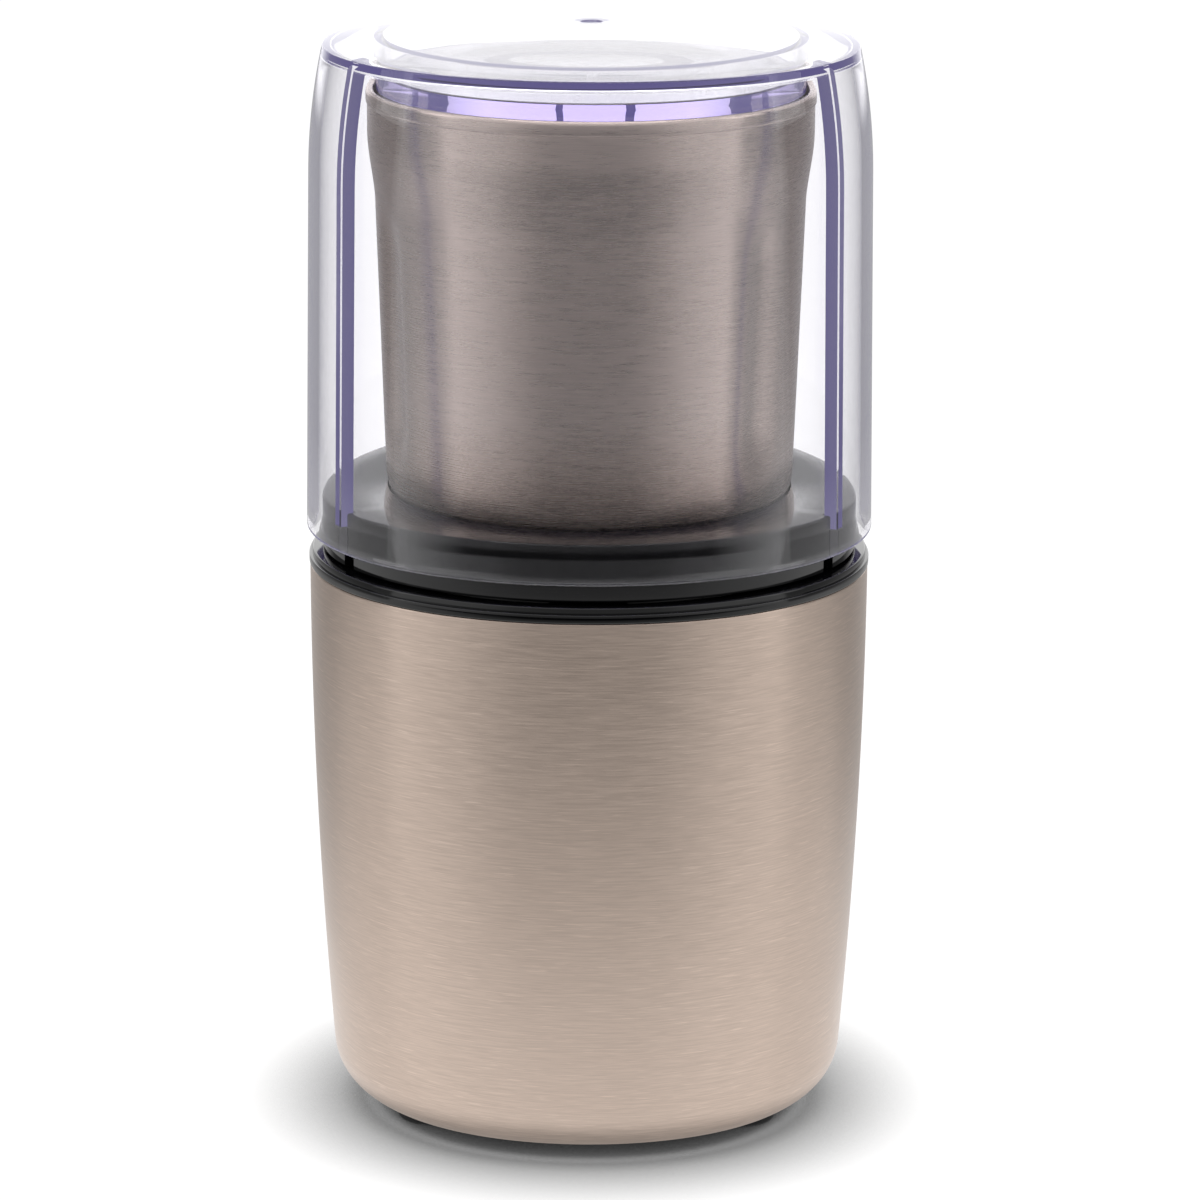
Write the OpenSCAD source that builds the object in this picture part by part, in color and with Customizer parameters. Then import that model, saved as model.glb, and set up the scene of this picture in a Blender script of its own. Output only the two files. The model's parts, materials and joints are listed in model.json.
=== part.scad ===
// Electric spice grinder: steel body, lift-out bowl on a bayonet collar, press-down clear lid.
// Z is up, the front is -Y, and the origin is on the table under the middle of the body.

/* [Plan] */
// How far the soft three-cornered plan departs from a circle, as a share of its radius
lobe = 0.018; // [0:0.001:0.03]
// Number of facets round a lobed form
lobe_steps = 72; // [48:12:96]

/* [Body shell] */
// Mean width of the steel shell at its top edge
shell_w = 103.1; // [96:0.1:124]
// Height of the steel shell
shell_h = 101.2; // [90:0.1:122]
// Thickness of the steel
shell_wall = 0.8; // [0.6:0.1:1.2]
// Radius of the slow belly of the side
belly_r = 1140; // [700:10:2000]
// Radius of the rounded bottom corner
shell_foot_r = 10; // [6:0.5:12]
// How far the bottom corner turns in, in degrees
shell_foot_turn = 62; // [45:1:70]

/* [Feet and base plate] */
// Height of the shell above the table
foot_gap = 3.7; // [3:0.1:6]
// Diameter of a rubber foot
foot_d = 13; // [9:0.5:15]
// Distance of the feet from the middle
foot_place = 33.5; // [28:0.5:34]
// Thickness of the base plate
plate_t = 2.4; // [2:0.1:3.5]
// Number of cooling slots in the base plate
vent_count = 18; // [10:1:24]
// Width of a cooling slot
vent_w = 2.6; // [1.5:0.1:3.5]

/* [Bowl seat] */
// Height of the black ring above the steel
ring_h = 2.9; // [2:0.1:5]
// Thickness of the locking ledge
ledge_t = 3.0; // [2:0.1:4]
// Depth from the locking ledge to the step
lug_room = 3.4; // [2.8:0.1:5]
// What is left under the push pins in the seat when the lid is pressed
well_spare = 0.9; // [0.5:0.1:3]
// Thickness of the seat's floor
floor_t = 3.0; // [2:0.1:4]

/* [Bayonet] */
// Angle from unlocked to locked
twist = 18; // [12:1:24]
// Width of a lug in degrees
lug_angle = 14; // [8:1:18]
// Clearance of a lug in its gap, in degrees each side
lug_slack = 1.5; // [1:0.5:3]
// Height of a lug
lug_h = 3.0; // [2:0.1:4]
// How far the lugs reach under the ledge
lug_reach = 2.2; // [1.2:0.1:2.6]

/* [Bowl collar] */
// Gap between the lid's wall and the collar
collar_gap = 0.9; // [0.5:0.1:2]
// How far the collar's skirt reaches out past the hole in the ring
skirt_cover = 3.0; // [2:0.1:5]
// Height of the collar above the ring
collar_h = 11.2; // [9:0.1:15]
// Thickness of the collar's top
deck_t = 2.5; // [2:0.1:3.5]
// Thickness of the collar's walls
collar_wall = 1.7; // [1.2:0.1:2.5]

/* [Bowl] */
// Room between the push pins' stems and the bowl's side
bowl_clear = 2.6; // [2.6:0.1:8]
// Height of the bowl
bowl_h = 85.7; // [70:0.5:90]
// How much the bowl's radius grows from its bottom corner up to the flare
bowl_lean = 1.7; // [0.5:0.1:2.5]
// How much the bowl's radius grows in the flare and the rim
bowl_flare = 1.7; // [0.5:0.1:2.5]
// Radius of the bowl's bottom corner
bowl_corner_r = 16; // [10:0.5:18]
// Thickness of the bowl's steel
bowl_wall = 0.8; // [0.6:0.1:1.2]
// Height of the rolled rim
bead_h = 2.8; // [2:0.1:4]
// Radius of the pressed flutes
flute_r = 8; // [5:0.5:10]
// Depth of the pressed flutes
flute_depth = 1.3; // [0.6:0.1:1.8]
// Length of the pressed flutes
flute_len = 46; // [30:1:50]

/* [Lid] */
// How far the lid's bottom edge stands out past the steel
lid_overhang = 0.55; // [0:0.05:2]
// What is left between the lid and the ring when the lid is pressed
lid_spare = 0.6; // [0.4:0.1:2]
// Height from the bowl's rim to the middle of the lid's top
lid_headroom = 11.6; // [10:0.1:20]
// Wall of the lid
lid_wall = 2.0; // [1.4:0.1:3]
// How much each side leans in over the height
lid_draft = 1.15; // [0.3:0.05:2]
// Rise of the domed top
dome_rise = 3.8; // [2:0.1:6]
// Radius of the lid's shoulder
shoulder_r = 1.2; // [1:0.1:4]
// Width of a lid rib
rib_w = 2.1; // [1.5:0.1:3]
// How far a rib stands in from the wall
rib_depth = 2.1; // [1:0.1:3]
// Thickness of the inner ring that reaches into the bowl
lid_ring_t = 1.8; // [1.2:0.1:3]

/* [Lid travel and pins] */
// How far the lid is pressed to run the motor
press = 3.5; // [2:0.1:4.5]
// Diameter of a push pin's stem
pin_d = 4; // [3:0.1:5]
// Width of a push pin's arm
arm_w = 3.0; // [2:0.1:4]
// Gap between a pressed arm and the ring
arm_spare = 0.7; // [0.4:0.1:1.5]
// Distance of the push pins' stems from the collar's inner wall
pin_inset = 3.8; // [3.3:0.1:5]

/* [Blade] */
// Gap between the blade's swing and the bowl's wall
blade_gap = 2; // [1:0.1:10]
// Width of the blade
blade_w = 12; // [8:0.5:16]
// Thickness of the blade
blade_t = 1.6; // [1:0.1:2.5]
// Angle of the tip that is bent up
blade_bend = 20; // [5:1:30]
// Angle of the tip that is bent down
blade_dip = 9; // [0:1:15]
// Length of each bent tip
tip_len = 13; // [8:0.5:18]
// Diameter of the blade shaft
shaft_d = 8; // [6:0.5:9]
// Outer diameter of the bearing bush
bush_d = 14; // [12:0.5:16]

/* [Motor] */
// Thickness of the stator's poles with their yoke
pole_t = 8; // [7:0.5:10]
// Thickness of the stator beside its coils, coil window included
yoke_t = 11; // [9:0.5:13]
// Height of the stack of laminations
stack_h = 22; // [16:1:28]
// Diameter of the armature
armature_d = 29; // [24:0.5:32]
// Air gap between armature and stator
air_gap = 0.5; // [0.3:0.1:0.8]
// Number of armature slots
slot_count = 12; // [8:2:14]
// Diameter of the commutator
commutator_d = 19; // [16:0.5:22]
// Number of fan blades
fan_blades = 11; // [7:1:13]
// Gap between the fan and the posts
fan_gap = 3.9; // [2:0.1:12]
// Number of teeth on the couplings
coupling_teeth = 6; // [4:1:8]

/* [Fits] */
// Running clearance of a shaft or pin in its bore, on the radius
run = 0.05; // [0.03:0.01:0.09]
// Clearance between pieces that are assembled and don't move
seat_gap = 0.1; // [0.05:0.01:0.15]
// Clearance of a sliding or dropping-in piece, on the radius
drop = 0.4; // [0.3:0.05:0.6]

/* [Hidden] */
$fn = 64;
e = 0.01;

// Directions round the middle: the front is -Y, and the corners of the plan lie between the posts.
front = -90;
corners = [front + 60, front - 60, front + 180];
faces = [front, front + 120, front - 120];

// Heights, from the table up
shell_bottom = foot_gap;
shell_top = shell_bottom + shell_h;
ring_top = shell_top + ring_h;
ledge_bottom = ring_top - ledge_t;
step_z = ledge_bottom - lug_room;
floor_top = step_z - press - well_spare;
floor_bottom = floor_top - floor_t;
skirt_bottom = ring_top + 0.5;
deck_top = ring_top + collar_h;
deck_bottom = deck_top - deck_t;
collar_bottom = step_z + seat_gap;
lid_bottom = ring_top + press + lid_spare;
plate_bottom = foot_gap + 0.6;
plate_top = plate_bottom + plate_t;

// Steel shell: a slow belly over the height that runs into the round bottom corner
belly_turn = asin((shell_h - shell_foot_r * sin(shell_foot_turn)) / (belly_r - shell_foot_r));
belly_c = [shell_w / 2 - belly_r, shell_top];
foot_c = belly_c + (belly_r - shell_foot_r) * [cos(belly_turn), -sin(belly_turn)];
shell_inner_r = shell_w / 2 - shell_wall;
shell_edge_r = foot_c.x + shell_foot_r * cos(shell_foot_turn);

// Widths, from the outside in: shell, lid, collar, seat, pins and bowl
lid_r = shell_w / 2 + lid_overhang;
collar_r = lid_r - lid_wall - collar_gap;
seat_r = collar_r - skirt_cover;
step_r = seat_r + lug_reach;
collar_low_r = seat_r - drop;
collar_in_r = collar_low_r - collar_wall;
pin_place = collar_in_r - pin_inset;
bowl_low_r = pin_place - bowl_clear;
bowl_waist_r = bowl_low_r + bowl_lean;
bowl_rim_r = bowl_waist_r + bowl_flare;

// Pieces inside the base
post_r = 3.6;
plate_rim_r = shell_edge_r - 1.2;
plate_wall = 1.8;
post_place = (plate_rim_r - plate_wall) * (1 - lobe) - post_r - 0.65;
fan_r = post_place - post_r - fan_gap;
boss_place = 27;
boss_r = 4;
screw_r = 1.5;
head_r = 3;
head_h = 2;
bracket_t = 3;
mount_h = 2.6;
upper_z = floor_bottom - 11;
stack_top = upper_z - 8;
stack_bottom = stack_top - stack_h;
lower_z = stack_bottom - 26;
column_r = 3.6;
bore_r = armature_d / 2 + air_gap;
stator_w = 2 * (bore_r + pole_t);
stator_l = 2 * (bore_r + yoke_t);
column_place = [stator_w / 2 - 4.4, stator_l / 2 - 4.4];
bracket_r = norm(column_place) + 0.5;
motor_shaft_r = 4;
bearing_r = 8;
bearing_h = 7;
bearing_wall = 2.4;
cap_size = [8, 18, 13];
cap_place = fan_r + 1.4;
commutator_h = 11;
commutator_z = stack_bottom - 16.5;
brush_z = commutator_z + commutator_h / 2;
coil_rise = 5.5;
coil_h = 4.4;
fan_lean = 28;
core_ring_t = 5;

// Collar and its base plate
lug_r = step_r - drop + 0.1;
base_t = 2.4;
base_top = collar_bottom + seat_gap + base_t;
boss_in_bowl_r = 15;

// Bowl
bowl_bottom = base_top + 3;
bowl_top = bowl_bottom + bowl_h;
lid_top = bowl_top + lid_headroom;
bead_r = 0.25;
flare_r = bowl_rim_r - bead_r;
flare_h = 14;
bead_bottom = bowl_top - bead_h;
flare_top = bead_bottom - 5;
waist_z = flare_top - flare_h;
corner_z = bowl_bottom + bowl_corner_r;
taper = atan((bowl_waist_r - bowl_low_r) / (waist_z - corner_z));
flute_low = waist_z - flute_len;
flute_turn = [front + 53, front - 67, front + 173];

// Hub, bush and blade
bush_r = bush_d / 2;
shaft_r = shaft_d / 2;
sleeve_r = bush_r + 2;
gasket_t = 0.8;
flange_r = 12.5;
flange_t = 2.2;
flange_top = bowl_bottom + bowl_wall + gasket_t + flange_t;
nut_t = 2.4;
nut_bottom = collar_bottom + seat_gap - nut_t - seat_gap;
ring_t = 0.8;
bush_bottom = nut_bottom + 0.3;
ring_z = bush_bottom - ring_t - 0.1;
socket_top = ring_z - 0.1;
socket_h = 7;
socket_r = 10.5;
coupling_roof = 2.6;
washer_t = 1.2;
washer_z = flange_top + 0.3;
blade_z = washer_z + washer_t;
nut_r = shaft_r + 1.2;
// the lower tip sweeps the bowl's round corner at this height, and the corner sets the blade's length
sweep_z = blade_z - tip_len * sin(blade_dip);
corner_reach = sqrt(pow(bowl_corner_r - bowl_wall, 2) - pow(corner_z - sweep_z, 2));
swing_r = bowl_low_r - bowl_corner_r + corner_reach - blade_gap;
blade_r = sqrt(pow(swing_r, 2) - pow(blade_w / 2, 2));

// Pins, switch and their springs
arm_top = deck_bottom - 0.1;
arm_bottom = ring_top + press + arm_spare;
arm_h = arm_top - arm_bottom;
stem_bottom = collar_bottom - 0.1;
rod_turn = front + 180 - twist;
rod_r = 1.8;
rod_top = stem_bottom - 0.1;
rod_flange_r = 3.4;
rod_guide = 8;
rod_flange_z = floor_bottom - rod_guide - 1.6;
switch_size = [8, 20, 12];
rod_bottom = rod_flange_z - 4.5;
switch_top = rod_bottom - press - 0.8;
button_r = 1.6;

// Lid: rings of the section
lid_top_r = lid_r - lid_draft;
shoulder_z = lid_top - dome_rise - 1.2;
rib_bottom = arm_top + 0.1;
lid_ring_r = flare_r - bowl_wall - 0.8;
dome_r = (pow(lid_top_r, 2) + pow(dome_rise, 2)) / (2 * dome_rise);
dome_c = lid_top - dome_r;
inner_dome_r = dome_r - lid_wall;
ring_ceiling = dome_c + sqrt(pow(inner_dome_r, 2) - pow(lid_ring_r, 2));
gate_r = 2;

// ---------------------------------------------------------------- shared forms

// Radius factor of the lobed plan at an angle: smallest at the faces, largest at the corners
function lobed(a) = 1 - lobe * cos(3 * (a - front));

// Points of an arc in a section, from one angle to another
function arc(c, r, a0, a1, n) = [for (i = [0 : n]) c + r * [cos(a0 + (a1 - a0) * i / n), sin(a0 + (a1 - a0) * i / n)]];

// A smooth step from 0 to 1
function ease(t) = t * t * (3 - 2 * t);

// Mean outer radius of the steel shell at a height above its bottom corner
function shell_r_at(z) = belly_c.x + sqrt(pow(belly_r, 2) - pow(z - shell_top, 2));

// Turns a section of [radius, height] points round the middle on the lobed plan. A closed section
// makes a ring; an open one is capped flat at both ends.
module lobed_form(section, closed = false) {
    m = len(section);
    n = lobe_steps;
    turns = [for (i = [0 : n - 1]) 360 * i / n];
    points = [for (a = turns) for (p = section) [p.x * lobed(a) * cos(a), p.x * lobed(a) * sin(a), p.y]];
    last = closed ? m - 1 : m - 2;
    side = [
        for (i = [0 : n - 1]) for (j = [0 : last])
            let (i2 = (i + 1) % n, j2 = (j + 1) % m)
            each [[i * m + j, i * m + j2, i2 * m + j2], [i * m + j, i2 * m + j2, i2 * m + j]]
    ];
    caps = closed ? [] : [[for (i = [0 : n - 1]) i * m], [for (i = [n - 1 : -1 : 0]) i * m + m - 1]];
    polyhedron(points = points, faces = concat(side, caps), convexity = 6);
}

// A round pipe standing on the table's plane, raised to z
module pipe(r_out, r_in, z, h) {
    translate([0, 0, z])
        difference() {
            cylinder(r = r_out, h = h);
            translate([0, 0, -1])
                cylinder(r = r_in, h = h + 2);
        }
}

// A disc or rod, raised to z
module rod(r, z, h) {
    translate([0, 0, z])
        cylinder(r = r, h = h);
}

// A wedge between two angles, used to cut rings into lugs and gaps
module wedge(a0, a1, r, z, h) {
    translate([0, 0, z])
        linear_extrude(height = h)
            polygon([
                [0, 0],
                r * [cos(a0), sin(a0)],
                r / cos((a1 - a0) / 2) * [cos((a0 + a1) / 2), sin((a0 + a1) / 2)],
                r * [cos(a1), sin(a1)]
            ]);
}

// Puts children at a distance from the middle, in a direction, turned to face outwards
module at(turn, place) {
    rotate([0, 0, turn])
        translate([place, 0, 0])
            children();
}

// A coil spring as stacked rings joined by short links, the way a short helix reads at this size
module coil_spring(r, wire, z, h, turns) {
    pitch = (h - wire) / turns;
    for (i = [0 : turns])
        translate([0, 0, z + wire / 2 + i * pitch])
            rotate_extrude()
                translate([r, 0])
                    circle(d = wire, $fn = 24);
    for (i = [0 : turns - 1])
        rotate([0, 0, i * 140])
            translate([r, 0, z + wire / 2 + i * pitch])
                cylinder(d = wire * 0.8, h = pitch);
}

// A screw with a round head underneath, driven upwards from z
module screw_up(z, h, r = screw_r) {
    rod(r, z + head_h - e, h - head_h + e);
    difference() {
        rod(head_r, z, head_h);
        for (a = [0, 90])
            rotate([0, 0, a])
                translate([-head_r * 0.6, -0.35, z - e])
                    cube([head_r * 1.2, 0.7, 0.8]);
    }
}

// ---------------------------------------------------------------- base

module steel_shell() {
    outer = concat(
        arc(foot_c, shell_foot_r, -shell_foot_turn, -belly_turn, 6),
        arc(belly_c, belly_r, -belly_turn * 4 / 5, 0, 4)
    );
    inner = concat(
        arc(belly_c, belly_r - shell_wall, 0, -belly_turn * 4 / 5, 4),
        arc(foot_c, shell_foot_r - shell_wall, -belly_turn, -shell_foot_turn, 6)
    );
    color("#b9a99a")
        difference() {
            lobed_form(concat(outer, inner), closed = true);
            gland_axis()
                translate([0, 0, -10])
                    cylinder(r = gland_neck_r + seat_gap, h = 20);
        }
}

// The ring, the seat for the bowl and everything moulded on its underside
module bowl_seat() {
    spigot_r = shell_inner_r - 0.15;
    section = [
        [spigot_r - 1.2, floor_bottom],
        [spigot_r - 0.2, floor_bottom + 1],
        [spigot_r, shell_top + 0.05],
        [shell_w / 2, shell_top + 0.05],
        [shell_w / 2 + 0.15, shell_top + 0.3],
        [shell_w / 2 + 0.15, ring_top - 0.8],
        [shell_w / 2 - 0.6, ring_top]
    ];
    gap = lug_angle / 2 + lug_slack;
    color("#17171a")
        difference() {
            union() {
                difference() {
                    lobed_form(section);
                    rod(seat_r, floor_top, 40);
                    // a way in for each lug, and a track under the ledge that ends where it stops
                    for (f = faces) {
                        intersection() {
                            pipe(step_r + 0.1, seat_r - 2, step_z, 20);
                            wedge(f - gap, f + gap, 60, step_z - 1, 30);
                        }
                        intersection() {
                            pipe(step_r, seat_r - 2, step_z, lug_room);
                            wedge(f - gap - twist, f, 60, step_z - 1, 30);
                        }
                    }
                }
                // raised lip that keeps powder out of the motor
                rod(socket_r + 4, floor_bottom, nut_bottom - 0.6 - floor_bottom);
                // posts for the base plate's screws, down to the plate
                for (f = faces)
                    at(f, post_place)
                        rod(post_r, plate_top + seat_gap, floor_bottom - plate_top);
                // bosses that the motor hangs from
                for (c = corners)
                    at(c, boss_place)
                        rod(boss_r, upper_z + bracket_t + mount_h, floor_bottom - upper_z - bracket_t - mount_h + 1);
                // plate that the switch is fastened to, hanging outside it
                at(rod_turn, pin_place + switch_size.x / 2 + seat_gap)
                    translate([0, -switch_size.y / 2, switch_top - switch_size.z])
                        cube([2, switch_size.y, floor_bottom - switch_top + switch_size.z + 1]);
                // guide of the switch rod
                at(rod_turn, pin_place)
                    rod(rod_r + 1.6, floor_bottom - rod_guide, rod_guide + floor_t);
            }
            rod(socket_r + 2, floor_bottom - 1, 40);
            for (f = faces)
                at(f, post_place)
                    rod(screw_r + run, plate_top - 1, 16);
            for (c = corners)
                at(c, boss_place)
                    rod(screw_r + run, upper_z + bracket_t, 9);
            at(rod_turn, pin_place)
                rod(rod_r + run, floor_bottom - rod_guide - 1, 40);
        }
}

module base_plate() {
    rim_r = plate_rim_r;
    color("#1b1b1d")
        difference() {
            union() {
                // floor, with a low wall that stands just inside the shell's turned-in edge
                lobed_form([
                    [rim_r - 1, plate_bottom],
                    [rim_r, plate_bottom + 1],
                    [rim_r, plate_top + 4.5],
                    [rim_r - plate_wall, plate_top + 4.5],
                    [rim_r - plate_wall, plate_top]
                ]);
                // tray that holds the capacitor
                at(corners[0], cap_place - 1 - seat_gap)
                    translate([0, -cap_size.y / 2 - 1 - seat_gap, plate_top - e])
                        difference() {
                            cube([cap_size.x + 2 + 2 * seat_gap, cap_size.y + 2 + 2 * seat_gap, 3.5]);
                            translate([1, 1, e])
                                cube([cap_size.x + 2 * seat_gap, cap_size.y + 2 * seat_gap, 5]);
                        }
            }
            // ring of cooling slots under the fan
            for (i = [0 : vent_count - 1])
                rotate([0, 0, i * 360 / vent_count])
                    translate([9.5, -vent_w / 2, plate_bottom - 1])
                        cube([13.5, vent_w, plate_t + 3]);
            for (f = faces)
                at(f, post_place) {
                    rod(screw_r + 0.2, plate_bottom - 1, 9);
                    rod(head_r + 0.2, plate_bottom - 1, 1 + head_h * 0.6);
                }
            for (c = corners)
                at(c, foot_place)
                    rod(foot_d / 2 - 1.4, plate_bottom - 1, 1 + plate_t * 0.5);
        }
}

module rubber_feet() {
    color("#101012")
        for (c = corners)
            at(c, foot_place) {
                rotate_extrude()
                    polygon(concat(
                        [[0, 0]],
                        arc([foot_d / 2 - 1, 1], 1, -90, 0, 4),
                        [[foot_d / 2, plate_bottom - seat_gap / 2], [0, plate_bottom - seat_gap / 2]]
                    ));
                rod(foot_d / 2 - 1.6, plate_bottom - 0.2, plate_t * 0.5);
            }
}

module base_screws() {
    color("#8d8f92")
        for (f = faces)
            at(f, post_place)
                screw_up(plate_bottom - head_h * 0.4, 15);
}

// Cord gland in the back of the shell, as an axis pointing outwards along +Z of its own frame
gland_z = 24;
gland_neck_r = 5.4;
gland_bore_r = 3.6;
gland_lip = 1.6;
gland_tilt = asin((shell_top - gland_z) / belly_r);

module gland_axis() {
    translate([0, shell_r_at(gland_z) * (1 + lobe), gland_z])
        rotate([-90 - gland_tilt, 0, 0])
            children();
}

module cord_gland() {
    color("#141416")
        gland_axis()
            difference() {
                union() {
                    translate([0, 0, -4])
                        cylinder(r = gland_neck_r, h = 4 + 0.3);
                    translate([0, 0, 0.25])
                        cylinder(r = gland_neck_r + gland_lip, h = 1.6);
                    translate([0, 0, 1.8])
                        cylinder(r = gland_neck_r, h = 1.4);
                    translate([0, 0, -4])
                        cylinder(r = gland_neck_r + gland_lip, h = 2);
                }
                translate([0, 0, -6])
                    cylinder(r = gland_bore_r, h = 14);
            }
}

// ---------------------------------------------------------------- motor, standing part

// Bracket plate: a disc with windows, four columns that meet the stator, and a bearing cup
module bracket_plate(z, ears, windows) {
    difference() {
        union() {
            rod(bracket_r, z, bracket_t);
            if (ears)
                for (c = corners)
                    at(c, boss_place)
                        rod(boss_r + 1, z, bracket_t);
        }
        for (a = windows)
            intersection() {
                pipe(bracket_r - 4, bearing_r + bearing_wall + 2, z - 1, bracket_t + 2);
                wedge(a - 24, a + 24, 60, z - 1, bracket_t + 2);
            }
        // room for the posts
        for (f = faces)
            at(f, post_place)
                rod(post_r + 0.8, z - 1, bracket_t + 2);
    }
}

module columns(z, h) {
    for (x = [-1, 1])
        for (y = [-1, 1])
            translate([x * column_place.x, y * column_place.y, 0])
                rod(column_r, z, h);
}

module column_holes(z, h) {
    for (x = [-1, 1])
        for (y = [-1, 1])
            translate([x * column_place.x, y * column_place.y, 0])
                rod(screw_r + run, z, h);
}

module upper_bracket() {
    cup_r = bearing_r + bearing_wall;
    color("#c9c4b4")
        difference() {
            union() {
                bracket_plate(upper_z, true, [0, 180, front]);
                rod(cup_r, upper_z - 3, bearing_h + 1);
                columns(stack_top + seat_gap, upper_z - stack_top - seat_gap + e);
            }
            rod(bearing_r + run, upper_z - 4, bearing_h + 1);
            rod(motor_shaft_r + 1, upper_z - 5, 20);
            column_holes(stack_top - 1, 30);
            for (c = corners)
                at(c, boss_place)
                    rod(screw_r + 0.2, upper_z - 1, 9);
        }
}

module lower_bracket() {
    cup_r = bearing_r + bearing_wall;
    color("#c9c4b4")
        difference() {
            union() {
                bracket_plate(lower_z, false, [90, -90]);
                rod(cup_r, lower_z - 2, bearing_h + 1);
                columns(lower_z, stack_bottom - seat_gap - lower_z);
                // pedestals for the brush holders
                for (x = [-1, 1])
                    translate([x * 18 - 5, -4, lower_z + bracket_t - e])
                        cube([10, 8, brush_z - 5 - lower_z - bracket_t + e]);
            }
            rod(bearing_r + run, lower_z - 1, bearing_h + 1);
            rod(motor_shaft_r + 1, lower_z - 5, 20);
            column_holes(lower_z - 5, 60);
        }
}

module motor_mounts() {
    color("#222226")
        for (c = corners)
            at(c, boss_place)
                pipe(boss_r, screw_r + 0.3, upper_z + bracket_t + seat_gap / 2, mount_h - seat_gap);
}

module mount_screws() {
    color("#8d8f92")
        for (c = corners)
            at(c, boss_place)
                screw_up(upper_z - head_h - seat_gap / 2, 13);
}

module motor_screws() {
    color("#8d8f92")
        for (x = [-1, 1])
            for (y = [-1, 1])
                translate([x * column_place.x, y * column_place.y, 0])
                    screw_up(lower_z - head_h - seat_gap / 2, upper_z + bracket_t - lower_z + head_h);
}

module stator_core() {
    window_r = bore_r + 5.5;
    color("#6d6f74")
        difference() {
            translate([0, 0, stack_bottom])
                linear_extrude(height = stack_h)
                    difference() {
                        intersection() {
                            square([stator_w, stator_l], center = true);
                            circle(r = norm([stator_w, stator_l]) / 2 - 2.2);
                        }
                        circle(r = bore_r);
                        // the two coil windows beside the poles
                        for (y = [-1, 1])
                            intersection() {
                                circle(r = window_r);
                                translate([0, y * (bore_r + 1)])
                                    square([stator_w * 0.62, 13], center = true);
                            }
                    }
            column_holes(stack_bottom - 1, stack_h + 2);
        }
}

// Each coil runs through both windows and loops over the stack at its ends
module field_coils() {
    coil_r = bore_r + 4.6;
    color("#b5651d")
        for (x = [0, 180])
            rotate([0, 0, x])
                difference() {
                    union() {
                        for (y = [-1, 1])
                            intersection() {
                                pipe(coil_r, bore_r + 0.8, stack_bottom - 1, stack_h + 2);
                                wedge(y * 66 - 18, y * 66 + 18, 60, stack_bottom - 1, stack_h + 2);
                            }
                        for (z = [stack_bottom - coil_rise, stack_top + 0.2])
                            intersection() {
                                pipe(coil_r, bore_r + 0.8, z, coil_rise - 0.2);
                                wedge(-84, 84, 600, z, coil_rise);
                            }
                    }
                }
}

module upper_bearing() {
    color("#b58a48")
        bearing(upper_z - 3);
}

module lower_bearing() {
    color("#b58a48")
        bearing(lower_z - 1 + seat_gap / 2);
}

module bearing(z) {
    difference() {
        rod(bearing_r, z, bearing_h);
        rod(motor_shaft_r + run, z - 1, bearing_h + 2);
    }
}

// Brush holders either side of the commutator, each with its square tunnel
module brush_holders() {
    color("#5a3a22")
        for (x = [0, 180])
            rotate([0, 0, x])
                difference() {
                    translate([commutator_d / 2 + 2, -5, brush_z - 5 + seat_gap])
                        cube([14, 10, 10]);
                    translate([commutator_d / 2, -3 - seat_gap, brush_z - 3 + seat_gap / 2])
                        cube([14, 6 + 2 * seat_gap, 6 + seat_gap]);
                }
}

module carbon_brushes() {
    color("#2c2c2e")
        for (x = [0, 180])
            rotate([0, 0, x])
                translate([commutator_d / 2 + 0.3, -3, brush_z - 3 + seat_gap])
                    cube([8, 6, 6 - seat_gap]);
}

module brush_springs() {
    start = commutator_d / 2 + 8.4;
    color("#c7c9cc")
        for (x = [0, 180])
            rotate([0, 0, x])
                translate([0, 0, brush_z])
                    rotate([0, 90, 0])
                        coil_spring(1.9, 0.6, start, 5.4, 4);
}

module microswitch() {
    color("#23262b")
        at(rod_turn, pin_place)
            difference() {
                translate([-switch_size.x / 2, -switch_size.y / 2, 0])
                    translate([0, 0, switch_top - switch_size.z])
                        cube(switch_size);
                rod(button_r + 0.1, switch_top - press - 1.5, 10);
            }
}

module capacitor() {
    color("#d8b43a")
        at(corners[0], cap_place)
            translate([0, -cap_size.y / 2, plate_top + seat_gap])
                cube(cap_size);
}

// ---------------------------------------------------------------- rotor

module motor_shaft() {
    color("#c3c5c8")
        rod(motor_shaft_r, lower_z - 14, upper_z + 25 - lower_z);
}

module armature_core() {
    r = armature_d / 2;
    slot_r = 1.7;
    color("#7b7d82")
        difference() {
            rod(r, stack_bottom, stack_h);
            rod(motor_shaft_r + e, stack_bottom - 1, stack_h + 2);
            for (i = [0 : slot_count - 1])
                rotate([0, 0, i * 360 / slot_count]) {
                    translate([r - slot_r - 1.4, 0, 0])
                        rod(slot_r, stack_bottom - 1, stack_h + 2);
                    translate([r - slot_r - 1.4, -0.5, stack_bottom - 1])
                        cube([6, 1, stack_h + 2]);
                }
        }
}

module armature_windings() {
    r = armature_d / 2;
    color("#9c4f1c")
        for (z = [stack_bottom - coil_h - 0.2, stack_top + 0.2])
            translate([0, 0, z])
                difference() {
                    rotate_extrude()
                        polygon(concat(
                            [[motor_shaft_r + 1.2, 0]],
                            arc([r - 4, 2], 2, -90, 0, 4),
                            arc([r - 4, coil_h - 2], 2, 0, 90, 4),
                            [[motor_shaft_r + 1.2, coil_h]]
                        ));
                    // the coils' heads read as separate bundles
                    for (i = [0 : slot_count - 1])
                        rotate([0, 0, (i + 0.5) * 360 / slot_count])
                            translate([r - 1.6, 0, -1])
                                cylinder(r = 0.9, h = 8);
                }
}

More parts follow.
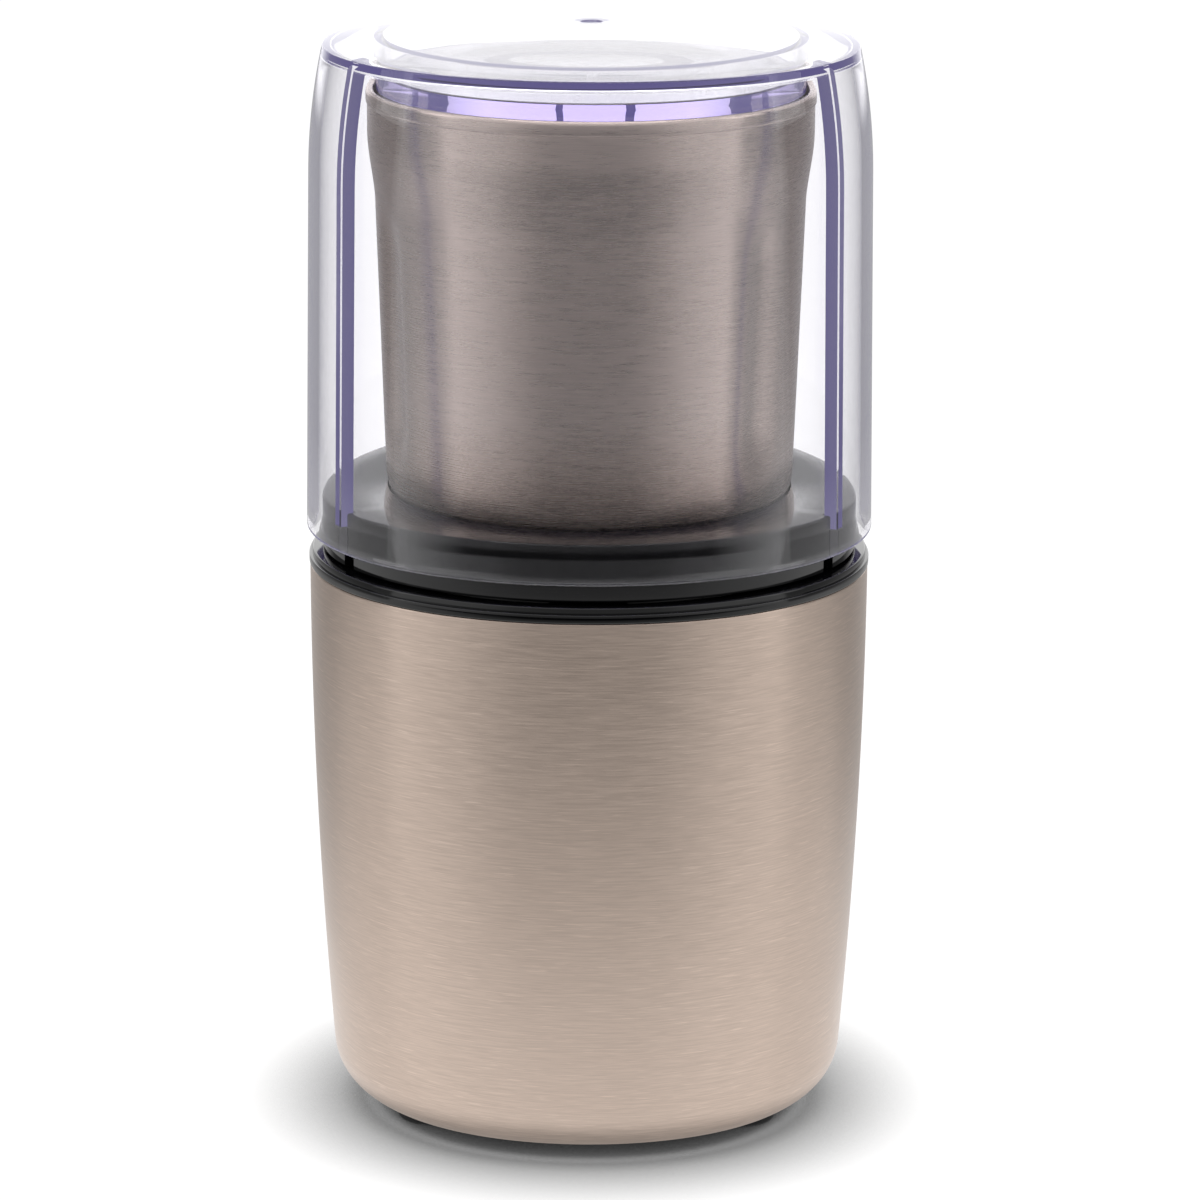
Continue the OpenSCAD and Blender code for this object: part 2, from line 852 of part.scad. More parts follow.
module commutator() {
    r = commutator_d / 2;
    color("#c47f45")
        difference() {
            union() {
                rod(r, commutator_z, commutator_h);
                rod(r + 1, commutator_z + commutator_h - 1.6, 1.6);
            }
            rod(motor_shaft_r + e, commutator_z - 1, commutator_h + 2);
            for (i = [0 : 2 * slot_count - 1])
                rotate([0, 0, i * 180 / slot_count])
                    translate([r - 0.6, -0.2, commutator_z - 1])
                        cube([3, 0.4, commutator_h + 2]);
        }
}

// Fan: a hub and disc with blades that lean back from the direction of turning
module cooling_fan() {
    z = lower_z - 12.5;
    color("#3a3d42")
        difference() {
            union() {
                rod(7, z, 9);
                rod(fan_r - 0.6, z + 7.6, 1.4);
                for (i = [0 : fan_blades - 1])
                    rotate([0, 0, i * 360 / fan_blades])
                        translate([5.2, 0, z + 0.6])
                            rotate([0, 0, fan_lean])
                                cube([fan_r - 5, 1.2, 7.4]);
            }
            rod(motor_shaft_r + e, z - 1, 12);
        }
}

// Outline of the coupling's teeth: a hub with round-ended teeth
module tooth_outline(r, grow) {
    circle(r = r * 0.62 + grow);
    for (i = [0 : coupling_teeth - 1])
        rotate([0, 0, i * 360 / coupling_teeth]) {
            translate([r - 1.3, 0])
                circle(r = 1.3 + grow);
            translate([0, -1.3 - grow])
                square([r - 1.3, 2.6 + 2 * grow]);
        }
}

module drive_coupling() {
    z = upper_z + 5.4;
    disc_top = socket_top - socket_h - drop;
    top = socket_top - coupling_roof - drop;
    color("#2e2f33")
        difference() {
            union() {
                rod(7, z, 1.6);
                rod(9.2, disc_top - 1.4, 1.4);
                translate([0, 0, disc_top - 0.1])
                    linear_extrude(height = top - disc_top + 0.1)
                        tooth_outline(8, 0);
            }
            rod(motor_shaft_r + e, z - 1, 20);
        }
}

// ---------------------------------------------------------------- switch

module switch_rod() {
    color("#d9d9d4")
        at(rod_turn, pin_place) {
            rod(rod_r, rod_bottom, rod_top - rod_bottom);
            rod(rod_flange_r, rod_flange_z, 1.4);
        }
}

module switch_button() {
    color("#c23b2e")
        at(rod_turn, pin_place)
            rod(button_r, switch_top - 1.2, rod_bottom - 0.1 - switch_top + 1.2);
}

module switch_spring() {
    color("#c7c9cc")
        at(rod_turn, pin_place)
            coil_spring(2.9, 0.5, switch_top + 0.1, rod_flange_z - switch_top - 0.2, 5);
}

// ---------------------------------------------------------------- bowl

module bearing_bush() {
    color("#b58a48")
        pipe(bush_r, shaft_r + run, bush_bottom, flange_top - bush_bottom);
}

// Section of the bowl at an offset inwards from its outer face
function bowl_side(t) = concat(
    arc([bowl_low_r - bowl_corner_r, corner_z], bowl_corner_r - t, -90, 0, 8),
    [[bowl_waist_r - t, waist_z]],
    [for (i = [1 : 6]) [bowl_waist_r - t + (flare_r - bowl_waist_r) * ease(i / 6), waist_z + flare_h * i / 6]]
);

module flutes(grow) {
    middle = flute_low + flute_len / 2;
    middle_r = bowl_low_r + (middle - corner_z) * tan(taper);
    for (a = flute_turn)
        at(a, middle_r + flute_r - flute_depth)
            translate([0, 0, middle])
                rotate([0, taper, 0]) {
                    cylinder(r = flute_r + grow, h = flute_len - 2 * flute_r, center = true);
                    for (s = [-1, 1])
                        translate([0, 0, s * (flute_len / 2 - flute_r)])
                            sphere(r = flute_r + grow);
                }
}

// Drawn steel cup: flat bottom, round corner, slow taper, flare and rolled rim, with three flutes
module grinding_bowl() {
    color("#a8998c")
        difference() {
            union() {
                rotate_extrude()
                    polygon(concat([[0, bowl_bottom]], bowl_side(0), [[flare_r, bowl_top - 0.2], [0, bowl_top - 0.2]]));
                rotate_extrude()
                    polygon(concat(
                        arc([flare_r - 0.5, bowl_top - 0.7], 0.7 + bead_r - 0.2, 90, 0, 4),
                        arc([flare_r - 0.5, bead_bottom + 0.5], 0.5 + bead_r, 0, -60, 3),
                        [[flare_r - 0.6, bead_bottom]],
                        [[flare_r - 0.6, bowl_top - 0.1]]
                    ));
            }
            difference() {
                rotate_extrude()
                    polygon(concat([[0, bowl_bottom + bowl_wall]], bowl_side(bowl_wall), [[flare_r - bowl_wall, bowl_top + 1], [0, bowl_top + 1]]));
                flutes(bowl_wall);
            }
            flutes(0);
            rod(sleeve_r + seat_gap, bowl_bottom - 1, 4);
        }
}

// Black collar that carries the bowl: lobed skirt and deck, round lower wall with the bayonet lugs
module bowl_collar() {
    r = collar_r;
    mouth_r = bowl_low_r - bowl_corner_r + sqrt(pow(bowl_corner_r, 2) - pow(max(0, corner_z - deck_top), 2)) + 0.15;
    color("#151517")
        difference() {
            union() {
                difference() {
                    lobed_form([[r - 0.3, skirt_bottom], [r, skirt_bottom + 0.3], [r, deck_top - 0.9], [r - 0.26, deck_top - 0.26], [r - 0.9, deck_top]]);
                    rod(r * (1 - lobe) - collar_wall, skirt_bottom - 1, deck_bottom - skirt_bottom + 1);
                }
                rod(collar_low_r, collar_bottom, deck_bottom - collar_bottom + 1);
                for (f = faces)
                    intersection() {
                        rod(lug_r, collar_bottom, lug_h);
                        wedge(f - lug_angle / 2, f + lug_angle / 2, 60, collar_bottom - 1, lug_h + 2);
                    }
            }
            difference() {
                rod(collar_in_r, collar_bottom - 1, deck_bottom - collar_bottom + 1);
                // bosses for the base plate's screws
                for (f = faces)
                    at(f, pin_place)
                        rod(3, base_top + seat_gap, 40);
            }
            for (f = faces)
                at(f, pin_place)
                    rod(screw_r + run, collar_bottom - 1, deck_bottom - collar_bottom - 0.4);
            rod(mouth_r, deck_bottom - 1, 20);
            // windows for the push pins' arms and notches for the lid's ribs
            for (c = corners)
                rotate([0, 0, c]) {
                    translate([collar_in_r - 2, -arm_w / 2 - 0.3, skirt_bottom - 1])
                        cube([20, arm_w + 0.6, deck_bottom - skirt_bottom + 1]);
                    translate([rib_inner_r() - drop, -rib_w / 2 - drop, deck_bottom - 1])
                        cube([20, rib_w + 2 * drop, deck_t + 2]);
                }
            // the arms sink below the skirt when the lid is pressed
            for (c = corners)
                rotate([0, 0, c])
                    translate([collar_in_r - 2, -arm_w / 2 - 0.3, arm_bottom - press - 0.4])
                        cube([20, arm_w + 0.6, arm_h]);
        }
}

module collar_base() {
    z = collar_bottom + seat_gap;
    color("#1d1d20")
        difference() {
            union() {
                rod(collar_in_r - seat_gap, z, base_t);
                rod(boss_in_bowl_r, z, bowl_bottom - 0.05 - z);
                pipe(21, 18.6, z, bowl_bottom - 0.05 - z);
            }
            rod(sleeve_r + seat_gap, z - 1, 20);
            for (c = corners)
                at(c, pin_place)
                    rod(pin_d / 2 + run, z - 1, 10);
            for (f = faces)
                at(f, pin_place) {
                    rod(screw_r + 0.2, z - 1, 10);
                    rod(head_r + 0.2, z - 1, 2.3);
                }
        }
}

module collar_screws() {
    color("#8d8f92")
        for (f = faces)
            at(f, pin_place)
                screw_up(collar_bottom + seat_gap - 0.8, 12);
}

module bowl_gasket() {
    color("#b84a2f")
        pipe(flange_r + 0.4, sleeve_r + seat_gap, bowl_bottom + bowl_wall, gasket_t);
}

// Flanged sleeve that clamps the bowl to the collar's base and holds the bush
module bowl_hub() {
    color("#202124")
        difference() {
            union() {
                rod(sleeve_r, nut_bottom, flange_top - nut_bottom);
                translate([0, 0, flange_top - flange_t])
                    rotate_extrude()
                        polygon(concat([[0, 0], [flange_r, 0]], arc([flange_r - 1.2, flange_t - 1.2], 1.2, 0, 90, 4), [[0, flange_t]]));
            }
            rod(bush_r + run, nut_bottom - 1, 40);
        }
}

module hub_nut() {
    color("#9a9ca0")
        difference() {
            rotate([0, 0, 30])
                translate([0, 0, nut_bottom])
                    cylinder(r = sleeve_r + 3.8, h = nut_t, $fn = 6);
            rod(sleeve_r + e, nut_bottom - 1, nut_t + 2);
        }
}

// ---------------------------------------------------------------- pins

// Each pin is a stem in the collar's base with an arm that ends flush behind the lid's rib
module push_pins() {
    end_r = collar_r * (1 + lobe);
    color("#1a1a1c")
        for (c = corners)
            at(c, pin_place)
                union() {
                    rod(pin_d / 2, stem_bottom, arm_top - stem_bottom);
                    translate([0, -arm_w / 2, arm_bottom])
                        cube([end_r - pin_place, arm_w, arm_h]);
                    rod(pin_d / 2 + 1, arm_bottom, arm_h - 1);
                }
}

module pin_springs() {
    color("#c7c9cc")
        for (c = corners)
            at(c, pin_place)
                coil_spring(2.6, 0.6, base_top + 0.1, arm_bottom - base_top - 0.2, 4);
}

// ---------------------------------------------------------------- blade

module blade() {
    flat = blade_r - tip_len;
    color("#c4c6c9")
        difference() {
            union() {
                translate([0, 0, blade_z])
                    linear_extrude(height = blade_t) {
                        square([2 * flat, blade_w], center = true);
                        circle(r = blade_w / 2 + 1);
                    }
                // one tip is bent up and the other down, each with a ground leading corner
                for (s = [0, 1])
                    rotate([0, 0, s * 180])
                        translate([flat, 0, blade_z + blade_t / 2])
                            rotate([0, s == 0 ? -blade_bend : blade_dip, 0])
                                translate([-0.4, 0, -blade_t / 2])
                                    linear_extrude(height = blade_t)
                                        polygon([
                                            [0, -blade_w / 2 + 0.2],
                                            [tip_len * 0.7, -blade_w / 2 + 0.2],
                                            [tip_len, -blade_w / 6],
                                            [tip_len, blade_w / 2 - 0.2],
                                            [0, blade_w / 2 - 0.2]
                                        ]);
            }
            rod(shaft_r - 1 + run, blade_z - 2, 6);
        }
}

module blade_shaft() {
    color("#c3c5c8")
        union() {
            rod(shaft_r, socket_top - 2.4, blade_z - seat_gap / 2 - socket_top + 2.4);
            rod(shaft_r - 1, blade_z - 1, blade_t + 5);
        }
}

module blade_nut() {
    z = blade_z + blade_t + seat_gap / 2;
    color("#b4b6ba")
        difference() {
            union() {
                translate([0, 0, z])
                    cylinder(r = nut_r, h = 3.4, $fn = 6);
                translate([0, 0, z + 3.3])
                    rotate_extrude()
                        polygon(concat([[0, 0]], arc([0, 0], shaft_r, 0, 90, 8)));
            }
            rod(shaft_r - 1 + e, z - 1, 5.6);
        }
}

module thrust_washer() {
    color("#e6e1d5")
        pipe(bush_r, shaft_r + e, washer_z, washer_t - 0.1);
}

module retaining_ring() {
    color("#8d8f92")
        difference() {
            pipe(shaft_r + 2, shaft_r + e, ring_z, ring_t);
            translate([shaft_r * 0.6, -1, ring_z - 1])
                cube([6, 2, 3]);
        }
}

// Socket that drops over the drive coupling's teeth
module driven_coupling() {
    z = socket_top - socket_h;
    color("#2e2f33")
        difference() {
            rod(socket_r, z, socket_h);
            translate([0, 0, z - 1])
                linear_extrude(height = socket_h - coupling_roof + 1)
                    tooth_outline(8, drop);
            rod(shaft_r + e, z + socket_h - 3, 8);
        }
}

// ---------------------------------------------------------------- lid

// Radius of the lid's wall at a height, on the given face
function lid_r_at(z, t) = lid_r - t - lid_draft * (z - lid_bottom) / (shoulder_z - lid_bottom);

// Inner end of a rib, measured on the corner's direction
function rib_inner_r() = (lid_r_at(deck_top, lid_wall)) * (1 + lobe) - rib_depth;

module lid() {
    top_r = lid_r_at(shoulder_z, 0);
    edge_r = top_r - shoulder_r;
    inner_edge_r = top_r - lid_wall - 0.6;
    inner_edge_z = dome_c + sqrt(pow(inner_dome_r, 2) - pow(inner_edge_r - 1.2, 2));
    section = concat(
        // ceiling, from the middle out and down the inner wall
        [for (i = [0 : 4]) let (x = gate_r + (inner_edge_r - 1.2 - gate_r) * i / 4) [x, dome_c + sqrt(pow(inner_dome_r, 2) - x * x)]],
        arc([inner_edge_r - 1.2, inner_edge_z - 1.6], 1.6, 60, 0, 2),
        [[lid_r_at(lid_bottom + 60, lid_wall), lid_bottom + 60], [lid_r_at(lid_bottom, lid_wall), lid_bottom + 0.4]],
        // rounded bottom edge
        [[lid_r - lid_wall + 0.4, lid_bottom], [lid_r - 0.4, lid_bottom], [lid_r, lid_bottom + 0.4]],
        // outer wall, shoulder and dome
        [[lid_r_at(lid_bottom + 60, 0), lid_bottom + 60]],
        arc([edge_r, shoulder_z - shoulder_r + 1.2], shoulder_r, 0, 80, 5),
        [for (i = [1 : 5]) let (x = edge_r + (gate_r - edge_r) * i / 5) [x, dome_c + sqrt(dome_r * dome_r - x * x)]]
    );
    color("#cfd3ee", 0.45) {
        lobed_form(section);
        lid_ribs();
        lid_ring();
    }
}

module lid_ribs() {
    outer_r = (lid_r_at(deck_top, lid_wall) + 0.6) * (1 + lobe) - 0.9;
    for (c = corners)
        rotate([0, 0, c])
            translate([rib_inner_r(), -rib_w / 2, rib_bottom])
                cube([outer_r - rib_inner_r(), rib_w, shoulder_z - 1 - rib_bottom]);
}

module lid_ring() {
    low = bowl_top + 0.4;
    pipe(lid_ring_r, lid_ring_r - lid_ring_t, low, ring_ceiling + lid_wall / 2 - low);
}

steel_shell();
bowl_seat();
base_plate();
rubber_feet();
base_screws();
cord_gland();
upper_bracket();
lower_bracket();
motor_mounts();
mount_screws();
stator_core();
field_coils();
motor_screws();
upper_bearing();
lower_bearing();
brush_holders();
carbon_brushes();
brush_springs();
microswitch();
capacitor();
motor_shaft();
armature_core();
armature_windings();
commutator();
cooling_fan();
drive_coupling();
switch_rod();
switch_button();
switch_spring();
bearing_bush();
grinding_bowl();
bowl_collar();
collar_base();
collar_screws();
bowl_gasket();
bowl_hub();
hub_nut();
push_pins();
pin_springs();
blade();
blade_shaft();
blade_nut();
thrust_washer();
retaining_ring();
driven_coupling();
lid();
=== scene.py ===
# %% [markdown]
# # A spice grinder, piece by piece
# This lesson dresses the frame of an upright electric spice grinder. The frame holds the plain solids, with
# their real sizes and joints. Here the pieces that show get smooth surfaces, soft edges and finishes, and
# the scene gets a camera, soft lights and a pale floor. The grinder has a brushed steel body, a black ring
# that the bowl locks into, a steel bowl on a black collar, and a tall clear lid that is pressed to run it.

# %% Load the frame
import json
import math

import bmesh
import bpy
import numpy as np
from mathutils import Matrix, Vector

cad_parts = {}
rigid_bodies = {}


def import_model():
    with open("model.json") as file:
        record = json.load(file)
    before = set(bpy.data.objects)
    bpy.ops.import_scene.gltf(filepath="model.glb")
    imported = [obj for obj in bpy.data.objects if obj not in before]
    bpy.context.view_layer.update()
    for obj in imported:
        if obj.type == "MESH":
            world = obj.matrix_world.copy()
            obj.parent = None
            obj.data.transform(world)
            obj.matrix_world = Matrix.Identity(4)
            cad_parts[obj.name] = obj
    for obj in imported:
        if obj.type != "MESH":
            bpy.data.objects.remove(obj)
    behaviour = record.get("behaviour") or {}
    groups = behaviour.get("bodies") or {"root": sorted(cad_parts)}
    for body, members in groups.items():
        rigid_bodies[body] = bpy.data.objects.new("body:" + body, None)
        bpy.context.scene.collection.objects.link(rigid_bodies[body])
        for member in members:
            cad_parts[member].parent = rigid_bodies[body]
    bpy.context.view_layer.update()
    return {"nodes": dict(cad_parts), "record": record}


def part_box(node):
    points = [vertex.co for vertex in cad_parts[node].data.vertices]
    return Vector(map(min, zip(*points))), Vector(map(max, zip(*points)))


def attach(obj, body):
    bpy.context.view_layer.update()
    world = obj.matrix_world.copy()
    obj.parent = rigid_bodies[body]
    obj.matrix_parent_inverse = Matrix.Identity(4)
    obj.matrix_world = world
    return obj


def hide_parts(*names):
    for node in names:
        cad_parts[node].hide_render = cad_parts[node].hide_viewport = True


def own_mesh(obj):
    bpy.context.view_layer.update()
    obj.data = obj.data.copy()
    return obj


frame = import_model()
nodes = frame["nodes"]

# %% [markdown]
# ## Camera
# The camera looks from a little above, through a long lens, so upright lines stay almost parallel. A lens of
# 150 mm on a 36 mm sensor at 0.94 m gives that. It looks at a point halfway up the grinder, and it is rolled
# by a third of a degree, as a hand-levelled tripod often is.

# %% Camera
MM = 0.001
target = Vector((2.09, 0.0, 95.9)) * MM
distance, elevation, roll = 0.93575, math.radians(15.0), math.radians(0.30)
camera_data = bpy.data.cameras.new("camera")
camera_data.sensor_width, camera_data.lens = 36.0, 150.48
camera_data.clip_start, camera_data.clip_end = 0.05, 30.0
camera = bpy.data.objects.new("camera", camera_data)
bpy.context.scene.collection.objects.link(camera)
towards = Vector((0.0, -math.cos(elevation), math.sin(elevation)))
look = towards.to_track_quat("Z", "Y").to_matrix().to_4x4()
camera.matrix_world = Matrix.Translation(target + towards * distance) @ look @ Matrix.Rotation(roll, 4, "Z")
bpy.context.scene.camera = camera
print("camera at", [round(v, 4) for v in camera.matrix_world.translation])

# %% [markdown]
# ## Sizes
# The plan of the body isn't a true circle: it is a little flatter at the front and at two sides, with three
# soft corners between. One formula gives the share by which a radius grows or shrinks at an angle. Every
# tier of the grinder, from the steel body to the lid, uses it. Three lugs hold the collar in the seat, and
# PRESS is how far the lid goes down. Heights come from the frame's own boxes, so the pieces keep to the frame
# if a height changes.

# %% Shared sizes, in millimetres
LOBE = 0.018
FRONT = -math.pi / 2
CORNERS = [FRONT + math.radians(a) for a in (60, 180, -60)]
FACES = [FRONT + math.radians(a) for a in (0, 120, -120)]
LUG_TURNS = (-90, 30, 150)
PRESS = 3.5


def top_of(node):
    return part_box(node)[1].z / MM


def bottom_of(node):
    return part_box(node)[0].z / MM


shell_top, shell_bottom = top_of("steel_shell"), bottom_of("steel_shell")
ring_top, seat_bottom = top_of("bowl_seat"), 94.0
deck_top, lid_bottom, lid_top = top_of("bowl_collar"), bottom_of("lid"), top_of("lid")
bowl_bottom, bowl_top = bottom_of("grinding_bowl"), top_of("grinding_bowl")
heights = (shell_bottom, shell_top, ring_top, deck_top, lid_bottom, bowl_top, lid_top)
print("heights:", [round(v, 2) for v in heights])


def arc(centre, radius, start, end, count):
    """Points of an arc in a section, from one angle to another, in degrees."""
    turns = np.radians(np.linspace(start, end, count))
    return [(centre[0] + radius * math.cos(t), centre[1] + radius * math.sin(t)) for t in turns]


def lobed(points):
    return [(r, z, 1.0) for r, z in points]


def plain(points):
    return [(r, z, 0.0) for r, z in points]


# %% [markdown]
# ## Turning a section on the lobed plan
# A lathe turns a section round an axis. This tree does the same, but each point may follow the three-cornered
# plan as well. It reads the section from the object's own mesh: X is the radius, Z the height, and Y says how
# far the point follows the lobes, from 0 to 1. A grid with one column for each step round gets its place
# from that, and a merge closes the seam and the poles.

# %% A small helper for node trees
def add_node(tree, kind, **settings):
    """Adds a node. Settings are its properties, and keys that start with in_ are inputs by number."""
    node = tree.nodes.new(kind)
    for key, value in settings.items():
        if key.startswith("in_"):
            socket = node.inputs[int(key[3:])]
            if isinstance(value, bpy.types.NodeSocket):
                tree.links.new(value, socket)
            else:
                socket.default_value = value
        else:
            setattr(node, key, value)
    return node


def math_node(tree, operation, a, b=None, c=None):
    """One step of arithmetic. A number or a socket goes into each input."""
    node = add_node(tree, "ShaderNodeMath", operation=operation)
    for i, value in enumerate((a, b, c)):
        if isinstance(value, bpy.types.NodeSocket):
            tree.links.new(value, node.inputs[i])
        elif value is not None:
            node.inputs[i].default_value = value
    return node.outputs[0]


# %% The tree that turns a section
def make_turning_tree():
    tree = bpy.data.node_groups.new("turn_on_lobed_plan", "GeometryNodeTree")
    face = tree.interface
    face.new_socket("Section", in_out="INPUT", socket_type="NodeSocketGeometry")
    face.new_socket("Steps", in_out="INPUT", socket_type="NodeSocketInt").default_value = 288
    face.new_socket("Lobe", in_out="INPUT", socket_type="NodeSocketFloat").default_value = LOBE
    face.new_socket("Finish", in_out="INPUT", socket_type="NodeSocketMaterial")
    face.new_socket("Geometry", in_out="OUTPUT", socket_type="NodeSocketGeometry")
    start = add_node(tree, "NodeGroupInput")
    section, steps, lobe, finish = start.outputs[:4]
    count = add_node(tree, "GeometryNodeAttributeDomainSize", component="MESH", in_0=section).outputs[0]
    columns = math_node(tree, "ADD", steps, 1.0)
    grid = add_node(tree, "GeometryNodeMeshGrid", in_0=1.0, in_1=1.0, in_2=columns, in_3=count)
    index = add_node(tree, "GeometryNodeInputIndex").outputs[0]
    column = math_node(tree, "FLOOR", math_node(tree, "DIVIDE", math_node(tree, "ADD", index, 0.5), count))
    row = math_node(tree, "SUBTRACT", index, math_node(tree, "MULTIPLY", column, count))
    place = add_node(tree, "GeometryNodeInputPosition").outputs[0]
    sample = add_node(tree, "GeometryNodeSampleIndex", data_type="FLOAT_VECTOR", domain="POINT", in_0=section)
    tree.links.new(place, sample.inputs[1])
    tree.links.new(row, sample.inputs["Index"])
    split = add_node(tree, "ShaderNodeSeparateXYZ", in_0=sample.outputs[0])
    radius, follow, height = split.outputs
    turn = math_node(tree, "MULTIPLY", math_node(tree, "DIVIDE", column, steps), 2 * math.pi)
    wave = math_node(tree, "COSINE", math_node(tree, "MULTIPLY", math_node(tree, "SUBTRACT", turn, FRONT), 3.0))
    share = math_node(tree, "MULTIPLY", math_node(tree, "MULTIPLY", wave, lobe), follow)
    reach = math_node(tree, "MULTIPLY", radius, math_node(tree, "SUBTRACT", 1.0, share))
    x = math_node(tree, "MULTIPLY", reach, math_node(tree, "COSINE", turn))
    y = math_node(tree, "MULTIPLY", reach, math_node(tree, "SINE", turn))
    point = add_node(tree, "ShaderNodeCombineXYZ", in_0=x, in_1=y, in_2=height)
    placed = add_node(tree, "GeometryNodeSetPosition", in_0=grid.outputs[0])
    tree.links.new(point.outputs[0], placed.inputs["Position"])
    merged = add_node(tree, "GeometryNodeMergeByDistance", in_0=placed.outputs[0])
    merged.inputs["Distance"].default_value = 1e-6
    real = add_node(tree, "GeometryNodeRealizeInstances", in_0=merged.outputs[0])
    coated = add_node(tree, "GeometryNodeSetMaterial", in_0=real.outputs[0])
    tree.links.new(finish, coated.inputs["Material"])
    tree.links.new(coated.outputs[0], add_node(tree, "NodeGroupOutput").inputs[0])
    return tree


turning_tree = make_turning_tree()
print("turning tree:", len(turning_tree.nodes), "nodes")


# %% Helpers that finish a mesh
def socket_id(tree, name):
    return next(item.identifier for item in tree.interface.items_tree if item.name == name and item.in_out == "INPUT")


def applied(obj):
    """Makes the evaluated result of an object's modifiers its plain mesh."""
    depsgraph = bpy.context.evaluated_depsgraph_get()
    depsgraph.update()
    mesh = bpy.data.meshes.new_from_object(obj.evaluated_get(depsgraph), depsgraph=depsgraph)
    obj.modifiers.clear()
    obj.data = mesh
    return obj


def tidy(obj, angle=28.0, recalculate=True):
    """Merges doubles, drops slivers, points faces outwards and shades smooth up to an angle."""
    bm = bmesh.new()
    bm.from_mesh(obj.data)
    bmesh.ops.remove_doubles(bm, verts=bm.verts, dist=2e-6)
    bmesh.ops.dissolve_degenerate(bm, edges=bm.edges, dist=1e-6)
    if recalculate:
        bmesh.ops.recalc_face_normals(bm, faces=bm.faces)
    bm.to_mesh(obj.data)
    bm.free()
    obj.data.shade_smooth()
    obj.data.set_sharp_from_angle(angle=math.radians(angle))
    return obj


def new_object(name, vertices, faces=(), edges=()):
    mesh = bpy.data.meshes.new(name)
    mesh.from_pydata([tuple(v) for v in vertices], list(edges), list(faces))
    mesh.update()
    obj = bpy.data.objects.new(name, mesh)
    bpy.context.scene.collection.objects.link(obj)
    return obj


def turned(name, section, finish, steps=288):
    """A closed form from a section of (radius, height, follow) points, in millimetres."""
    points = [(r * MM, follow, z * MM) for r, z, follow in section]
    obj = new_object(name, points, edges=[(i, i + 1) for i in range(len(points) - 1)])
    modifier = obj.modifiers.new("turn", "NODES")
    modifier.node_group = turning_tree
    modifier[socket_id(turning_tree, "Steps")] = steps
    modifier[socket_id(turning_tree, "Finish")] = finish
    return tidy(applied(obj))


# %% [markdown]
# ## Cutting and joining
# Holes, bosses and lugs are made as a maker would think of them: a plain block or bar is set in its place and
# cut from a piece or joined to it. A join can leave empty material slots, which would show as plain grey, so
# the piece's own finish is put back on every face.

# %% Cutters, bars and the cut itself
def combine(obj, tool, operation="DIFFERENCE"):
    """Cuts or joins with another object, which is then removed. New faces get the piece's finish."""
    modifier = obj.modifiers.new("combine", "BOOLEAN")
    modifier.operation, modifier.solver, modifier.object = operation, "EXACT", tool
    applied(obj)
    finishes = [material for material in obj.data.materials if material]
    if len(finishes) == 1:
        obj.data.materials.clear()
        obj.data.materials.append(finishes[0])
        obj.data.polygons.foreach_set("material_index", [0] * len(obj.data.polygons))
    bpy.data.objects.remove(tool)
    return obj


def from_bmesh(name, bm):
    """An object with the mesh that was built, whose working copy is freed."""
    obj = new_object(name, [])
    bm.to_mesh(obj.data)
    bm.free()
    return obj


def block(size, centre, turn):
    """A cutter or a bar: its size and centre in its own frame, turned about Z."""
    bm = bmesh.new()
    bmesh.ops.create_cube(bm, size=1.0)
    bmesh.ops.scale(bm, vec=Vector(size) * MM, verts=bm.verts)
    bmesh.ops.translate(bm, vec=Vector(centre) * MM, verts=bm.verts)
    bmesh.ops.rotate(bm, matrix=Matrix.Rotation(turn, 3, "Z"), verts=bm.verts)
    return from_bmesh("block", bm)


def round_bar(radius, length, steps):
    """A closed bar along Z with its middle at the origin, still as a bmesh."""
    bm = bmesh.new()
    bmesh.ops.create_cone(
        bm, cap_ends=True, segments=steps, radius1=radius * MM, radius2=radius * MM, depth=length * MM
    )
    return bm


def disc(radius, low, high, place, steps):
    """A round bar between two heights, as a cutter or a boss."""
    bm = round_bar(radius, high - low, steps)
    bmesh.ops.translate(bm, vec=Vector((*place, (low + high) / 2)) * MM, verts=bm.verts)
    return from_bmesh("disc", bm)


def sector(inner, outer, low, high, start, end, steps=24):
    """A block of a ring between two angles, in degrees."""
    turns = np.radians(np.linspace(start, end, steps))
    vertices, faces, n = [], [], len(turns)
    for z in (low, high):
        for r in (inner, outer):
            vertices += [(r * MM * math.cos(t), r * MM * math.sin(t), z * MM) for t in turns]
    for i in range(n - 1):
        faces += [(i, i + 1, n + i + 1, n + i), (2 * n + i, 3 * n + i, 3 * n + i + 1, 2 * n + i + 1)]
        faces += [(i, 2 * n + i, 2 * n + i + 1, i + 1), (n + i, n + i + 1, 3 * n + i + 1, 3 * n + i)]
    faces += [(0, n, 3 * n, 2 * n), (n - 1, 3 * n - 1, 4 * n - 1, 2 * n - 1)]
    return tidy(new_object("sector", vertices, faces))


def at(turn, reach):
    """The (x, y) place at a distance from the middle, in a direction."""
    return (reach * math.cos(turn), reach * math.sin(turn))


# %% [markdown]
# ## Shader helpers
# A material is a short chain of nodes. These helpers add a node and link it in one line, so that each finish
# reads as a recipe. Patterns read Object coordinates, which every piece shares, because each piece sits at
# the origin with its place in its mesh.

# %% Material helpers
def new_material(name, **sockets):
    """A material with one Principled shader. Socket values are given by name, with _ for a space."""
    material = bpy.data.materials.new(name)
    material.use_nodes = True
    tree = material.node_tree
    shader = tree.nodes["Principled BSDF"]
    for key, value in sockets.items():
        shader.inputs[key.replace("_", " ")].default_value = value
    return material, tree, shader


def object_coordinates(tree, scale=(1.0, 1.0, 1.0)):
    coordinates = add_node(tree, "ShaderNodeTexCoord").outputs["Object"]
    return add_node(tree, "ShaderNodeMapping", in_0=coordinates, in_3=scale).outputs[0]


